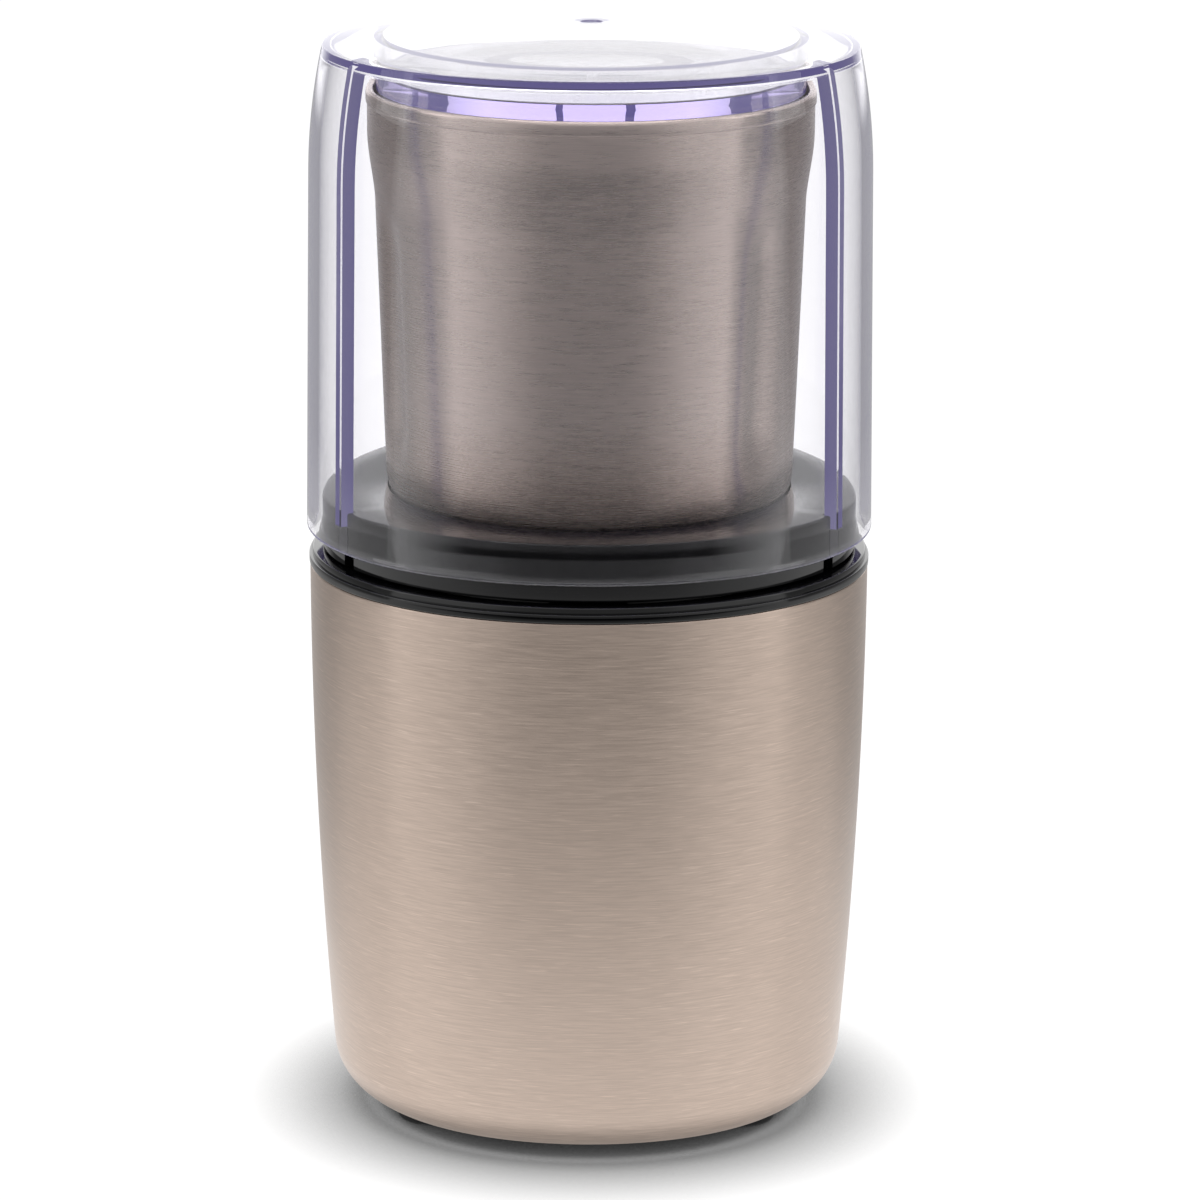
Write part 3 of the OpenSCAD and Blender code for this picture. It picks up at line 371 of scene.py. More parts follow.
def noise(tree, scale, detail=3.0, roughness=0.55, size=1.0):
    """A noise value whose cells are stretched by a scale for each axis, per metre."""
    node = add_node(tree, "ShaderNodeTexNoise")
    tree.links.new(object_coordinates(tree, scale), node.inputs["Vector"])
    node.inputs["Scale"].default_value = size
    node.inputs["Detail"].default_value = detail
    node.inputs["Roughness"].default_value = roughness
    return node.outputs[0]


def remap(tree, value, low, high, to_low=0.0, to_high=1.0):
    return add_node(tree, "ShaderNodeMapRange", in_0=value, in_1=low, in_2=high, in_3=to_low, in_4=to_high).outputs[0]


def mix_colours(tree, factor, a, b):
    node = add_node(tree, "ShaderNodeMix", data_type="RGBA")
    for socket, value in ((node.inputs[0], factor), (node.inputs[6], a), (node.inputs[7], b)):
        if isinstance(value, bpy.types.NodeSocket):
            tree.links.new(value, socket)
        else:
            socket.default_value = value
    return node.outputs[2]


def bump(tree, height, strength, distance):
    node = add_node(tree, "ShaderNodeBump", in_0=strength, in_1=distance)
    tree.links.new(height, node.inputs["Height"])
    return node.outputs[0]


# %% [markdown]
# ## Brushed steel
# A belt brushes the steel round and round, so its lines run level. They are far longer than they are
# thick: a noise that is stretched round the body and squeezed in height gives them. The same lines tint the
# colour a little, change the roughness and feed the bump. A few longer scratches lie over them at a slant.
# Because the grooves run level, a highlight smears upwards and downwards, and anisotropy does that. The
# pattern is a node group, since the body, the bowl and the blade all use it with other values.

# %% The brushing group
def make_brushing_group():
    tree = bpy.data.node_groups.new("level_brushing", "ShaderNodeTree")
    face = tree.interface
    for name, value in (("Line Density", 1.0), ("Scratch Amount", 0.5)):
        face.new_socket(name, in_out="INPUT", socket_type="NodeSocketFloat").default_value = value
    for name in ("Lines", "Scratches", "Patches", "Height"):
        face.new_socket(name, in_out="OUTPUT", socket_type="NodeSocketFloat")
    start = add_node(tree, "NodeGroupInput")
    density, amount = start.outputs[:2]
    coordinates = add_node(tree, "ShaderNodeTexCoord").outputs["Object"]

    def lines(scale, detail, tilt=0.0):
        spread = add_node(tree, "ShaderNodeMapping", in_0=coordinates, in_2=(tilt, tilt * 0.4, 0.0), in_3=scale)
        node = add_node(tree, "ShaderNodeTexNoise", in_0=spread.outputs[0])
        tree.links.new(density, node.inputs["Scale"])
        node.inputs["Detail"].default_value = detail
        node.inputs["Roughness"].default_value = 0.6
        return node.outputs[0]

    fine = lines((150.0, 150.0, 4800.0), 4.0)
    coarse = lines((90.0, 90.0, 2700.0), 3.0)
    both = math_node(tree, "ADD", math_node(tree, "MULTIPLY", fine, 0.65), math_node(tree, "MULTIPLY", coarse, 0.35))
    scratch_a = remap(tree, lines((120.0, 120.0, 3400.0), 1.0, -0.20), 0.66, 0.72)
    scratch_b = remap(tree, lines((150.0, 150.0, 4000.0), 1.0, -0.32), 0.68, 0.74)
    scratches = math_node(tree, "MULTIPLY", math_node(tree, "MAXIMUM", scratch_a, scratch_b), amount)
    patches = lines((14.0, 14.0, 26.0), 2.0)
    height = math_node(tree, "SUBTRACT", both, math_node(tree, "MULTIPLY", scratches, 0.35))
    end = add_node(tree, "NodeGroupOutput")
    for i, value in enumerate((both, scratches, patches, height)):
        tree.links.new(value, end.inputs[i])
    return tree


brushing = make_brushing_group()


def brushed_steel(name, dark, light, roughness, anisotropy, density, scratches, relief):
    """Steel brushed round its axis, from a darker to a lighter tone."""
    material, tree, shader = new_material(name, Metallic=1.0, Anisotropic=anisotropy, Anisotropic_Rotation=0.25)
    group = add_node(tree, "ShaderNodeGroup", node_tree=brushing, in_0=density, in_1=scratches)
    lines, marks, patches, height = group.outputs
    tone = mix_colours(tree, remap(tree, lines, 0.40, 0.60), (*dark, 1.0), (*light, 1.0))
    tone = mix_colours(tree, math_node(tree, "MULTIPLY", marks, 0.7), tone, (*[min(1.0, v * 1.4) for v in light], 1.0))
    tree.links.new(tone, shader.inputs["Base Color"])
    by_line = remap(tree, lines, 0.3, 0.7, -0.05, 0.05)
    by_patch = remap(tree, patches, 0.3, 0.7, roughness - 0.02, roughness + 0.03)
    tree.links.new(math_node(tree, "ADD", by_line, by_patch), shader.inputs["Roughness"])
    tree.links.new(bump(tree, height, relief, 0.00008), shader.inputs["Normal"])
    tangent = add_node(tree, "ShaderNodeTangent", direction_type="RADIAL", axis="Z")
    tree.links.new(tangent.outputs[0], shader.inputs["Tangent"])
    return material


body_steel = brushed_steel("body_steel", (0.500, 0.404, 0.343), (0.592, 0.479, 0.407), 0.36, 0.82, 1.15, 0.45, 0.20)
bowl_steel = brushed_steel("bowl_steel", (0.455, 0.378, 0.342), (0.54, 0.448, 0.405), 0.27, 0.80, 1.3, 0.2, 0.06)
print("steel finishes made")

# %% [markdown]
# ## Black plastic
# The ring and the collar are glossy moulded plastic. Real gloss isn't perfectly flat: a wide, faint wave from
# the mould bends the reflections, and fine dust and wiping marks make the gloss uneven. The rubber and the
# plain moulded pieces are matt, with a fine spark-eroded grain in their surface.

# %% Plastic and rubber finishes
def gloss_plastic(name, colour, roughness, wave=0.06):
    material, tree, shader = new_material(name, Base_Color=(*colour, 1.0), IOR=1.5)
    smears = noise(tree, (90.0, 90.0, 90.0), 4.0, 0.65)
    dust = remap(tree, noise(tree, (2600.0, 2600.0, 2600.0), 1.0), 0.66, 0.74)
    smeared = remap(tree, smears, 0.35, 0.75, roughness * 0.75, roughness * 1.6)
    rough = math_node(tree, "ADD", smeared, math_node(tree, "MULTIPLY", dust, 0.12))
    tree.links.new(rough, shader.inputs["Roughness"])
    speck = [min(1.0, v + 0.03) for v in colour]
    tone = mix_colours(tree, math_node(tree, "MULTIPLY", dust, 0.35), (*colour, 1.0), (*speck, 1.0))
    tree.links.new(tone, shader.inputs["Base Color"])
    tree.links.new(bump(tree, noise(tree, (70.0, 70.0, 70.0), 1.0), wave, 0.0006), shader.inputs["Normal"])
    return material


def matt_plastic(name, colour, roughness=0.5, grain=0.25):
    material, tree, shader = new_material(name, Base_Color=(*colour, 1.0), IOR=1.5)
    texture = noise(tree, (1800.0, 1800.0, 1800.0), 3.0)
    worn = noise(tree, (60.0, 60.0, 60.0), 3.0)
    lighter = [min(1.0, v * 1.3 + 0.012) for v in colour]
    tone = mix_colours(tree, remap(tree, worn, 0.35, 0.75), (*colour, 1.0), (*lighter, 1.0))
    tree.links.new(tone, shader.inputs["Base Color"])
    tree.links.new(remap(tree, worn, 0.3, 0.7, roughness - 0.06, roughness + 0.08), shader.inputs["Roughness"])
    tree.links.new(bump(tree, texture, grain, 0.00006), shader.inputs["Normal"])
    return material


seat_black = gloss_plastic("seat_black", (0.003, 0.003, 0.0035), 0.06, 0.02)
collar_black = gloss_plastic("collar_black", (0.003, 0.003, 0.0035), 0.05, 0.02)
base_black = matt_plastic("base_black", (0.022, 0.022, 0.024), 0.48)
foot_rubber = matt_plastic("foot_rubber", (0.016, 0.016, 0.017), 0.75, 0.4)
print("black finishes:", [m.name for m in (seat_black, collar_black, base_black, foot_rubber)])

# %% [markdown]
# ## Clear plastic
# The lid is moulded in a clear plastic that bends light more than water and has a faint violet tint. A thin
# wall looks colourless. Where light runs a long way inside, as along the top edge, the tint adds up. So the
# colour comes from absorption inside the solid and not from its surface. A renderer stops following light
# after a few mirrorings inside the plastic, which would leave black bands, so a ray that is trapped that long
# ends in a painted deep violet glow. The side faces of the ribs, marked on the mesh, get the same painted glow,
# which stands in for the light that reaches them from along the rib on the real lid. Shadow rays pass straight
# through.

# %% The lid's finish
def clear_plastic(name, tint, density, glow, rib_glow_share=0.9, most_turns=2.5):
    material, tree, shader = new_material(
        name, Base_Color=(1.0, 1.0, 1.0, 1.0), Metallic=0.0, Roughness=0.0, IOR=1.56, Transmission_Weight=1.0
    )
    sides = add_node(tree, "ShaderNodeAttribute", attribute_name="rib_side").outputs["Fac"]
    volume = add_node(tree, "ShaderNodeVolumeAbsorption", in_0=(*tint, 1.0), in_1=density)
    output = tree.nodes["Material Output"]
    tree.links.new(volume.outputs[0], output.inputs["Volume"])
    wave = noise(tree, (38.0, 38.0, 22.0), 1.0)
    tree.links.new(bump(tree, wave, 0.05, 0.0008), shader.inputs["Normal"])
    clear = add_node(tree, "ShaderNodeBsdfTransparent", in_0=(0.93, 0.93, 0.95, 1.0))
    path = add_node(tree, "ShaderNodeLightPath").outputs
    shadow = path["Is Shadow Ray"]
    # Trapped rays and the ribs' marked side faces show a painted violet glow in place of light.
    trapped = math_node(tree, "GREATER_THAN", path["Glossy Depth"], most_turns)
    deep_in = math_node(tree, "MAXIMUM", trapped, math_node(tree, "MULTIPLY", sides, rib_glow_share))
    violet = add_node(tree, "ShaderNodeEmission", in_0=(*glow, 1.0), in_1=1.0)
    inner = add_node(tree, "ShaderNodeMixShader", in_0=deep_in, in_1=shader.outputs[0], in_2=violet.outputs[0])
    blend = add_node(tree, "ShaderNodeMixShader", in_0=shadow, in_1=inner.outputs[0], in_2=clear.outputs[0])
    tree.links.new(blend.outputs[0], output.inputs["Surface"])
    return material


# The last colour is the painted violet glow of trapped rays and of the ribs' side faces.
lid_clear = clear_plastic("lid_clear", (0.62, 0.50, 0.94), 18.0, (0.12, 0.105, 0.25))
print("clear plastic:", len(lid_clear.node_tree.nodes), "nodes")

# %% [markdown]
# ## The steel body
# The body is drawn from one sheet: a slow belly over the height, a round bottom corner and an edge that turns
# in under the base. Its top edge is broken with a fine round, which catches a thin line of light. The section
# is two arcs that meet smoothly, because a belly this slow would show every corner of a drawn outline.

# %% Body shell
belly_radius, foot_radius, foot_turn, wall = 1140.0, 10.0, 62.0, 0.8
shell_half, shell_height = 51.55, shell_top - shell_bottom
between = belly_radius - foot_radius
belly_turn = math.degrees(math.asin((shell_height - foot_radius * math.sin(math.radians(foot_turn))) / between))
belly_centre = (shell_half - belly_radius, shell_top)
foot_centre = (
    belly_centre[0] + between * math.cos(math.radians(belly_turn)),
    belly_centre[1] - between * math.sin(math.radians(belly_turn)),
)
edge = 0.28
outer = arc(foot_centre, foot_radius, -foot_turn + 2, -belly_turn, 16)
outer += arc(belly_centre, belly_radius, -belly_turn, -0.02, 26)[1:]
top_round = arc((shell_half - edge, shell_top - edge), edge, 10, 90, 5)
inner = arc(belly_centre, belly_radius - wall, 0.0, -belly_turn, 14)
inner += arc(foot_centre, foot_radius - wall, -belly_turn, -foot_turn, 12)[1:]
lip = arc(foot_centre, foot_radius - 0.05, -foot_turn, -foot_turn, 1)
body_section = lobed(outer + top_round + inner + lip)
body_section.append(body_section[0])
steel_body = turned("steel_body", body_section, body_steel, 360)
print("steel body:", len(steel_body.data.polygons), "faces")

# %% [markdown]
# The cord goes in low at the back through a gland. Its hole is cut square to the sheet, which leans there, so
# the bar that cuts it is tilted by the belly's own angle at that height.

# %% Cord inlet hole in the body
gland_height, inlet_radius, cutter_length = 24.0, 5.5, 20.0
gland_tilt = math.asin((shell_top - gland_height) / belly_radius)
gland_reach = (belly_centre[0] + math.sqrt(belly_radius**2 - (gland_height - shell_top) ** 2)) * (1 + LOBE)
inlet = round_bar(inlet_radius, cutter_length, 64)
bmesh.ops.rotate(inlet, matrix=Matrix.Rotation(-math.pi / 2 - gland_tilt, 3, "X"), verts=inlet.verts)
bmesh.ops.translate(inlet, vec=Vector((0.0, gland_reach, gland_height)) * MM, verts=inlet.verts)
combine(steel_body, from_bmesh("inlet_hole", inlet))
tidy(steel_body)
print("inlet hole: tilt", round(math.degrees(gland_tilt), 2), "degrees, reach", round(gland_reach, 2), "mm")
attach(steel_body, "base")
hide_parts("steel_shell")

# %% [markdown]
# ## The black ring and the seat
# The ring is the visible top of one moulding: a deep round seat that the bowl's collar drops into, with a
# ledge that three lugs lock under. The section makes its walls in one turn. Sectors of a ring then cut the
# ways in for the lugs and their tracks under the ledge, and bosses and posts join on below.

# %% Ring and seat
seat_r, step_r, ledge_t, lug_room = 46.2, 48.4, 3.0, 3.4
way_half, lock_turn = 8.5, 18.0
ledge_bottom = ring_top - ledge_t
step_z = ledge_bottom - lug_room
floor_top = seat_bottom + 3.0
under = shell_top + 0.05
spigot = shell_half - wall - 0.15
coupling_hole, coupling_rim, rim_top = 12.5, 14.5, floor_top + 1.5
seat_section = plain([(coupling_hole, seat_bottom)])
seat_section += lobed([(spigot - 1.2, seat_bottom), (spigot - 0.2, seat_bottom + 1.0)])
seat_section += lobed([(spigot, under), (shell_half - 0.15, under)])
seat_section += lobed(arc((shell_half - 0.15, under + 0.3), 0.3, -70, 0, 4))
seat_section += lobed(arc((shell_half - 0.1, ring_top - 1.45), 0.25, 0, 90, 5))
seat_section += lobed([(shell_half - 0.42, ring_top - 1.2)] + arc((shell_half - 0.85, ring_top - 0.4), 0.4, 0, 90, 6))
seat_section += plain(arc((seat_r + 0.45, ring_top - 0.45), 0.45, 90, 180, 5))
seat_section += plain([(seat_r, floor_top), (coupling_rim, floor_top), (coupling_rim, rim_top - 0.1)])
seat_section += plain([(coupling_rim - 0.2, rim_top), (coupling_hole + 0.2, rim_top)])
seat_section += plain([(coupling_hole, rim_top - 0.1), (coupling_hole, seat_bottom)])
bowl_seat = turned("bowl_seat_ring", seat_section, seat_black)
for f in LUG_TURNS:
    combine(bowl_seat, sector(seat_r - 2, step_r + 0.1, step_z, ring_top + 2, f - way_half, f + way_half))
    combine(bowl_seat, sector(seat_r - 2, step_r, step_z, ledge_bottom, f - way_half - lock_turn, f))
print("seat:", len(bowl_seat.data.polygons), "faces")

# %% [markdown]
# Under the seat, three long posts reach down to the base plate and take its screws. Three short bosses carry
# the motor's rubber mounts. A guide keeps the switch rod upright, and a plate beside it holds the switch.

# %% Posts, bosses and the switch guide under the seat
post_place, boss_place, rod_turn, rod_place = 34.43, 27.0, math.radians(72), 40.3
post_r, boss_r, screw_bore, guide_r, guide_bore = 3.6, 4.0, 1.55, 3.4, 1.85
boss_bottom, guide_bottom, join_z = 88.6, 86.0, seat_bottom + 0.2
plate_size, plate_middle = (2.0, 20.0, 31.4), 79.3
base_top = top_of("base_plate") - 4.5
for turn in FACES:
    combine(bowl_seat, disc(post_r, base_top + 0.1, join_z, at(turn, post_place), 48), "UNION")
    combine(bowl_seat, disc(screw_bore, base_top - 1, base_top + 15, at(turn, post_place), 32))
for turn in CORNERS:
    combine(bowl_seat, disc(boss_r, boss_bottom, join_z, at(turn, boss_place), 48), "UNION")
    combine(bowl_seat, disc(screw_bore, guide_bottom, seat_bottom + 1, at(turn, boss_place), 32))
combine(bowl_seat, disc(guide_r, guide_bottom, join_z, at(rod_turn, rod_place), 48), "UNION")
combine(bowl_seat, disc(guide_bore, guide_bottom - 6, seat_bottom + 16, at(rod_turn, rod_place), 48))
combine(bowl_seat, block(plate_size, (rod_place + 5.1, 0, plate_middle), rod_turn), "UNION")
tidy(bowl_seat)
print("seat with posts:", len(bowl_seat.data.polygons), "faces")
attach(bowl_seat, "base")
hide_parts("bowl_seat")

# %% [markdown]
# ## The collar
# The collar carries the bowl. Its skirt and top follow the lobed plan, while the wall that drops into the seat
# is round so that it can turn. The section goes round both in one line. Three lugs join on at the foot of
# the wall, and notches for the lid's ribs and windows for the push pins' arms are cut at the corners.

# %% Collar
collar_r, deck_bottom, skirt_bottom, collar_bottom = 49.2, deck_top - 2.5, ring_top + 0.5, 101.5
skirt_in, low_r, in_r, mouth_r = collar_r * (1 - LOBE) - 1.7, 45.8, 44.1, 37.30
collar_section = plain(arc((mouth_r + 0.35, deck_top - 0.35), 0.35, 180, 90, 4))
collar_section += lobed(arc((collar_r - 0.45, deck_top - 0.45), 0.45, 90, 0, 8))
collar_section += lobed(arc((collar_r - 0.35, skirt_bottom + 0.35), 0.35, 0, -90, 4))
collar_section += plain([(skirt_in, skirt_bottom), (skirt_in, deck_bottom), (low_r, deck_bottom)])
collar_section += plain([(low_r, collar_bottom + 0.3), (low_r - 0.3, collar_bottom), (in_r, collar_bottom)])
collar_section += plain([(in_r, deck_bottom), (mouth_r, deck_bottom)])
collar_section.append(collar_section[0])
collar = turned("collar", collar_section, collar_black)
lug_reach, lug_half, lug_height, pillar_r, pillar_bottom = 48.1, 7, 3.0, 3.0, 104.1
for f in LUG_TURNS:
    lug = sector(low_r - 0.8, lug_reach, collar_bottom, collar_bottom + lug_height, f - lug_half, f + lug_half)
    combine(collar, lug, "UNION")
    pillar_place = at(math.radians(f), rod_place)
    combine(collar, disc(pillar_r, pillar_bottom, deck_bottom + 0.3, pillar_place, 48), "UNION")
    combine(collar, disc(screw_bore, collar_bottom - 1.5, deck_bottom - 0.4, pillar_place, 32))
print("collar:", len(collar.data.polygons), "faces")

# %% Notches and windows at the collar's corners
arm_bottom = ring_top + PRESS + 0.7
window_low = arm_bottom - PRESS - 0.4
lid_r, lid_wall, rib_width, rib_depth = 52.1, 2.0, 2.1, 2.1
rib_inner = (lid_r - lid_wall - 0.09) * (1 + LOBE) - rib_depth
window_size, window_middle = (20, 3.6, deck_bottom - window_low), (deck_bottom + window_low) / 2
for turn in CORNERS:
    combine(collar, block(window_size, (in_r + 8, 0, window_middle), turn))
    combine(collar, block((20, rib_width + 0.8, 4.5), (rib_inner - 0.4 + 10, 0, deck_bottom + 1.25), turn))
tidy(collar)
print("collar with notches:", len(collar.data.polygons), "faces")
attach(collar, "bowl")
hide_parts("bowl_collar")

# %% [markdown]
# ## The bowl
# The bowl is a drawn steel cup: a flat floor, a large round corner, a wall that leans out slowly, a flare and a
# rolled rim. It is round, so its section is turned without the lobes. The grid is fine, because the flutes
# are pressed into it in the next cell.

# %% Bowl section
low_bowl_r, waist_r, flare_r, rim_r, bowl_corner, bowl_wall = 37.7, 39.4, 40.85, 41.1, 16.0, 0.8
corner_z = bowl_bottom + bowl_corner
waist_z = bowl_top - 2.8 - 5.0 - 14.0


def bowl_radius(z):
    """Outer radius of the bowl's side at a height above its corner."""
    if z <= waist_z:
        return low_bowl_r + (waist_r - low_bowl_r) * (z - corner_z) / (waist_z - corner_z)
    t = min(1.0, (z - waist_z) / 14.0)
    return waist_r + (flare_r - waist_r) * t * t * (3 - 2 * t)


levels = np.concatenate([np.linspace(corner_z, waist_z, 40)[1:], np.linspace(waist_z, bowl_top - 3.0, 20)[1:]])
side = [(bowl_radius(z), z) for z in levels]
corner_centre, hub_hole, bead_r = (low_bowl_r - bowl_corner, corner_z), 9.1, 0.75
bowl_outer = [(hub_hole, bowl_bottom)] + arc(corner_centre, bowl_corner, -90, 0, 18) + side
bead = arc((rim_r - bead_r, bowl_top - 2.15), bead_r, -50, 0, 5)
bead += arc((rim_r - bead_r, bowl_top - bead_r), bead_r, 0, 180, 12)
bowl_inner = [(r - bowl_wall, z) for r, z in reversed(side)]
bowl_inner += arc(corner_centre, bowl_corner - bowl_wall, 0, -90, 16)
bowl_inner += [(hub_hole, bowl_bottom + bowl_wall), (hub_hole, bowl_bottom)]
bowl = turned("bowl", plain(bowl_outer + bead + bowl_inner), bowl_steel, 360)
print("bowl before its flutes:", len(bowl.data.polygons), "faces")

# %% [markdown]
# Three long flutes are pressed into the bowl's side, to stir what is ground. A press leaves no hard edge in a
# steel sheet, so the depth follows a bell curve round the bowl and fades out at both ends. Every point of
# the wall is moved in by the depth at its place, on the outside and the inside alike.

# %% Press the flutes
flute_turns = [math.radians(a) for a in (-90 + 53, -90 - 67, -90 + 173)]
flute_depth, flute_half, flute_low, flute_high, flute_fade, wall_from = 1.3, 3.9, 122.0, 175.0, 11.0, 30
places = np.array([v.co for v in bowl.data.vertices]) / MM
radii, heights = np.hypot(places[:, 0], places[:, 1]), places[:, 2]
angles = np.arctan2(places[:, 1], places[:, 0])
push = np.zeros(len(places))
for turn in flute_turns:
    away = (angles - turn + math.pi) % (2 * math.pi) - math.pi
    along = np.clip(np.minimum(heights - flute_low, flute_high - heights) / flute_fade, 0.0, 1.0)
    push += flute_depth * np.exp(-((away * radii / flute_half) ** 2)) * along**2 * (3 - 2 * along)
push = np.where(radii > wall_from, push, 0.0)
scale = 1.0 - push / np.maximum(radii, 1.0)
places[:, 0] *= scale
places[:, 1] *= scale
bowl.data.vertices.foreach_set("co", (places * MM).ravel())
tidy(bowl, 40)
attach(bowl, "bowl")
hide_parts("grinding_bowl")
print("bowl:", len(bowl.data.polygons), "faces, deepest flute", round(float(push.max()), 2), "mm")

# %% [markdown]
# ## The lid
# The lid is one clear moulding. A tall lobed wall leans in a little, bends in over its last part and ends in a
# clear edge, with a domed top above it. The mould's gate mark is a small dimple in the middle. The wall and
# the top are one section that is turned on the lobed plan. Clear plastic shows both of its skins, so the inner
# skin is drawn with as much care as the outer one.

# %% Lid shell
lid_draft, dome_rise, bend_z, bend = 1.15, 3.8, 178.0, 0.0046
shoulder_z = lid_top - dome_rise - 1.2
dome_r = ((lid_r - lid_draft) ** 2 + dome_rise**2) / (2 * dome_rise)
dome_c = lid_top - dome_r


def lid_radius(z, inset=0.0):
    """The wall leans in a little all the way up, and bends in over its last part."""
    lean = lid_draft * (z - lid_bottom) / (shoulder_z - lid_bottom)
    return lid_r - inset - lean - bend * max(0.0, z - bend_z) ** 2


def dome_z(radius, x):
    return dome_c + math.sqrt(radius**2 - x * x)


def dome(radius, start, end, count):
    return [(x, dome_z(radius, x)) for x in np.linspace(start, end, count)]


def wall_line(inset, *spans):
    """Points down or up one skin of the wall, through spans of height."""
    return [(lid_radius(z, inset), z) for start, end in spans for z in np.linspace(start, end, 14)]


corner, inner_corner, edge_z, inner_z, foot_round = 0.45, 0.9, 200.45, 198.2, 0.5
edge_r = lid_radius(edge_z)
inner_r = lid_radius(inner_z, lid_wall)
foot_z = lid_bottom + foot_round
lid_points = dome(dome_r - lid_wall, 0.0, inner_r - inner_corner - 0.1, 14)
lid_points += arc((inner_r - inner_corner, inner_z), inner_corner, 76, 4, 8)
lid_points += wall_line(lid_wall, (inner_z - 0.5, bend_z), (bend_z - 4, foot_z))
lid_points += arc((lid_radius(lid_bottom, lid_wall) + foot_round, foot_z), foot_round, 200, 270, 5)
lid_points += arc((lid_r - foot_round, foot_z), foot_round, 270, 360, 5)
lid_points += wall_line(0.0, (lid_bottom + 2, bend_z - 3), (bend_z, edge_z - 0.4))
lid_points += arc((edge_r - corner, edge_z), corner, 8, 76, 8)
lid_points += dome(dome_r, edge_r - corner - 0.5, 2.4, 18)
gate_mark = [(2.1, 0.03), (1.9, 0.2), (1.6, 0.32), (0.0, 0.35)]
lid_points += [(r, lid_top - depth) for r, depth in gate_mark]
lid = turned("lid_shell", lobed(lid_points), lid_clear, 360)
print("lid shell:", len(lid.data.polygons), "faces, edge at", round(edge_r, 2), "mm from the middle")

# %% [markdown]
# ## The lid's plug and ribs
# A ring hangs from the top into the bowl's mouth, and a thin plate closes it. Three ribs stand in from the wall
# at the corners and press on the pins. Clear plastic must be one closed solid, or light bends at faces that
# aren't there, so the plug and the ribs are joined to the shell and nothing is left inside.

# %% Inner ring, the plate that closes it, and the ribs
ring_out, ring_in, plate_low, plate_top = 39.25, 37.45, bowl_top - 0.4, bowl_top + 2.5
ceiling = dome_z(dome_r - lid_wall, ring_out) + 1.0
ring_points = [(0.0, plate_low)] + arc((ring_out - 0.3, plate_low + 0.3), 0.3, 270, 360, 4)
ring_points += [(ring_out, ceiling), (ring_in, ceiling), (ring_in, plate_top + 0.4)]
ring_points += arc((ring_in - 0.4, plate_top + 0.4), 0.4, 350, 270, 4) + [(0.0, plate_top)]
combine(lid, turned("lid_plug", plain(ring_points), lid_clear, 360), "UNION")


def rib(turn, low, high, depth, width):
    """An upright rib that follows the bend of the wall, from inside the wall to a depth before it."""
    levels = [low] + list(np.linspace(bend_z, high, 12))
    outline = [(lid_radius(z, lid_wall * 0.5) * (1 + LOBE), z) for z in levels]
    outline += [(lid_radius(z, lid_wall) * (1 + LOBE) - depth, z) for z in reversed(levels)]
    count = len(outline)
    vertices = []
    for side_y in (-width / 2, width / 2):
        for r, z in outline:
            x, y = r * math.cos(turn) - side_y * math.sin(turn), r * math.sin(turn) + side_y * math.cos(turn)
            vertices.append((x * MM, y * MM, z * MM))
    faces = [tuple(range(count)), tuple(range(2 * count - 1, count - 1, -1))]
    faces += [(i, (i + 1) % count, count + (i + 1) % count, count + i) for i in range(count)]
    return tidy(new_object("rib", vertices, faces))


rib_top = 199.3
for turn in CORNERS:
    combine(lid, rib(turn, deck_bottom, rib_top, rib_depth, rib_width), "UNION")
tidy(lid, 30, recalculate=False)
print("lid:", len(lid.data.polygons), "faces")

# %% [markdown]
# The ribs' side faces carry a mark of their own, which the clear plastic reads to give them a painted violet glow.
# A face is marked when it lies inside the wall, close to a corner's middle line, and looks sideways.

# %% Mark the ribs' side faces
faces_in_rib = []
for face in lid.data.polygons:
    x, y, z = face.center / MM
    turn = min(CORNERS, key=lambda t: abs(math.remainder(math.atan2(y, x) - t, 2 * math.pi)))
    sideways = abs(y * math.cos(turn) - x * math.sin(turn))
    depth = x * math.cos(turn) + y * math.sin(turn)
    inside = depth < lid_radius(z, lid_wall) * (1 + LOBE) - 0.08 and z < 198.6 and math.hypot(x, y) > 43
    facing = face.normal.x * math.cos(turn) + face.normal.y * math.sin(turn)
    looks_sideways = abs(facing) < 0.5 and abs(face.normal.z) < 0.5
    faces_in_rib.append(float(inside and looks_sideways and sideways < rib_width / 2 + 0.02))
lid.data.attributes.new("rib_side", "FLOAT", "FACE").data.foreach_set("value", faces_in_rib)
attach(lid, "lid")
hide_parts("lid")
print("marked on the ribs' sides:", int(sum(faces_in_rib)), "faces")

# %% [markdown]
# ## Finishes of the frame's own pieces
# The pieces under the steel and inside the bowl keep the frame's solids, which are already the right shape.
# They get finishes of their own: turned and ground steel, cast metal, copper, bronze and moulded plastic.

# %% Metal finishes
def plain_metal(name, colour, roughness, variation=0.06, grain=(300.0, 300.0, 300.0), relief=0.1):
    material, tree, shader = new_material(name, Metallic=1.0)
    cloud = noise(tree, (70.0, 70.0, 70.0), 3.0)
    darker = [v * (1 - 2 * variation) for v in colour]
    tone = mix_colours(tree, remap(tree, cloud, 0.3, 0.7), (*darker, 1.0), (*colour, 1.0))
    tree.links.new(tone, shader.inputs["Base Color"])
    fine = noise(tree, grain, 3.0)
    tree.links.new(remap(tree, fine, 0.3, 0.7, roughness - 0.06, roughness + 0.08), shader.inputs["Roughness"])
    tree.links.new(bump(tree, fine, relief, 0.00005), shader.inputs["Normal"])
    return material


